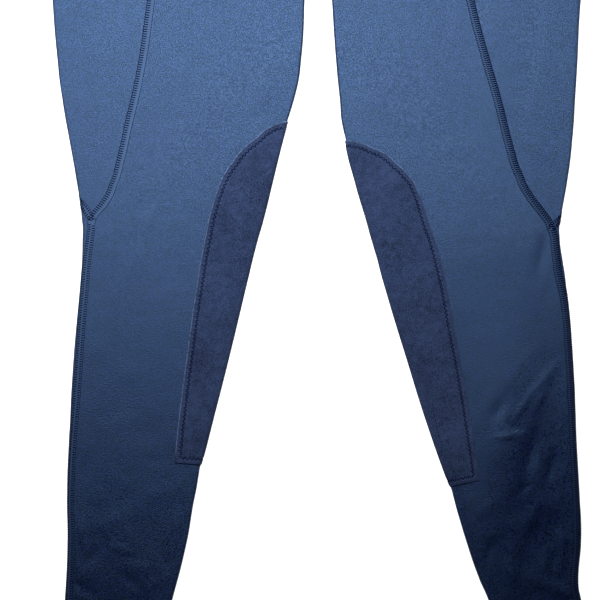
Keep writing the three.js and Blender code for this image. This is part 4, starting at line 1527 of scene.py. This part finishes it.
@dataclass
class Waistband:
    """The double waistband, in a front and a back half that meet round the side edges.

    rolled is the radius of its upper edge, which has rolled_rows, and the other rows start even_from
    below it. corner are the degrees above the outermost line of the columns round a side edge.
    """

    wardrobe: Wardrobe
    columns: int = 60
    rows: int = 26
    even_from: float = 3.0
    rolled: float = 1.4
    rolled_rows: int = 6
    corner: Sequence[float] = (3.0, 20.0, 40.0, 60.0, 80.0)

    def half(self, layer: Layer) -> None:
        """One half, from side edge to side edge, with a rolled upper edge."""
        drops = self.rolled * (1 - np.cos(np.linspace(0, math.pi / 2, self.rolled_rows)))
        even = np.linspace(WAIST_TOP - self.even_from, WAIST_SEAM + SEAM_GAP, self.rows)
        heights = np.concatenate([WAIST_TOP - drops, even])
        reach = (Curve(WAISTBAND)(heights) - BAND_FOLD - BAND / 2)[:, None]
        cos, sin = np.cos(np.radians(self.corner)), np.sin(np.radians(self.corner))
        edge = reach + BAND_FOLD * cos
        x = np.concatenate([-edge, reach * np.linspace(-1, 1, self.columns), edge[:, ::-1]], axis=1)
        y = np.broadcast_to(heights[:, None], x.shape)
        out = np.broadcast_to(np.concatenate([-cos, np.zeros(self.columns), cos[::-1]]), x.shape)
        up = np.broadcast_to(np.concatenate([sin, np.ones(self.columns), sin[::-1]]), x.shape) * layer.value
        point = np.stack([x, y, BAND / 2 + BAND_FOLD + BAND_FOLD * up], axis=-1)
        grid = Frames(point, np.stack([out, np.zeros_like(x), up], axis=-1))
        roll = 1 - (1 - (WAIST_TOP - heights) / self.rolled).clip(0, 1) ** 2
        wall = (BAND / 2 * np.sqrt(np.clip(roll, 0.02, 1)))[:, None]
        name, below = ("front", "waistband_back") if layer is Layer.FRONT else ("back", "floor")
        uv = np.stack([x, y], axis=-1)
        piece = shell(f"waistband_{name}_cloth", grid, -wall, wall, uv, self.wardrobe.jersey)
        sew_on(piece, "waistband", f"waistband_{name}")


@dataclass
class Studio:
    """Floor, light and camera.

    frame_width and all about the floor are metres, as is the light's size. The lens, the sensor
    and the two places are millimetres. fill is the strength of the white light from all round.
    """

    frame_width: float = 0.552
    lens: float = 100.0
    sensor: float = 36.0
    centre: tuple[float, float, float] = (-16.6, -345.0, 4.4)
    floor_size: float = 30.0
    floor_drop: float = 0.0002
    light_place: tuple[float, float, float] = (-142.0, 174.0, 575.0)
    light_size: float = 0.9
    light_turn: float = 38.0
    light_watts: float = 19.8
    fill: float = 0.012

    def floor(self) -> None:
        """A plain white floor."""
        half = self.floor_size / 2
        corners = ((-half, -half), (half, -half), (half, half), (-half, half))
        mesh = bpy.data.meshes.new("floor")
        mesh.from_pydata([(x, y, -self.floor_drop) for x, y in corners], [], [(0, 1, 2, 3)])
        mesh.materials.append(Graph("floor_white").finish({
            "Base Color": (0.5, 0.5, 0.5), "Roughness": 1.0, "Specular IOR Level": 0.0,
            "Emission Color": (1, 1, 1), "Emission Strength": 1.0,
        }))
        add_object("floor", mesh)

    def light(self) -> None:
        """One large square soft light that faces straight down."""
        lamp = bpy.data.lights.new("key", "AREA")
        lamp.energy, lamp.size, lamp.shape = self.light_watts, self.light_size, "SQUARE"
        made = add_object("key", lamp)
        made.location = Vector(Place.metres(np.array(self.light_place)))
        made.rotation_euler.z = math.radians(self.light_turn)
        made.visible_camera = False

    def camera(self) -> None:
        """The camera, looking straight down with the waist end up."""
        data = bpy.data.cameras.new("camera")
        data.lens, data.sensor_width = self.lens, self.sensor
        made = add_object("camera", data)
        above = Vector((0, 0, self.frame_width * self.lens / self.sensor))
        made.location = Vector(Place.metres(np.array(self.centre))) + above
        bpy.context.scene.camera = made

    def build(self) -> None:
        """Makes all of it."""
        self.camera()
        self.floor()
        self.light()
        world = bpy.data.worlds.new("studio")
        world.use_nodes = True
        background = world.node_tree.nodes["Background"].inputs
        background["Color"].default_value = (1, 1, 1, 1)
        background["Strength"].default_value = self.fill
        bpy.context.scene.world = world
        bpy.context.scene.view_settings.view_transform = "Standard"


def main() -> None:
    """Builds the breeches and the studio."""
    Studio().build()
    wardrobe = Wardrobe()
    for shape in (LEFT, RIGHT):
        leg = Leg(shape)
        panels = LegPanels(leg, wardrobe)
        panels.front()
        panels.back()
        panels.side()
        patch = Patch(leg, wardrobe)
        patch.build()
        PatchSewing(patch, wardrobe).build()
        Seams(leg, wardrobe).build()
    waistband = Waistband(wardrobe)
    for layer in Layer:
        waistband.half(layer)


if __name__ == "__main__":
    logging.basicConfig(level=logging.INFO, format="%(message)s")
    main()
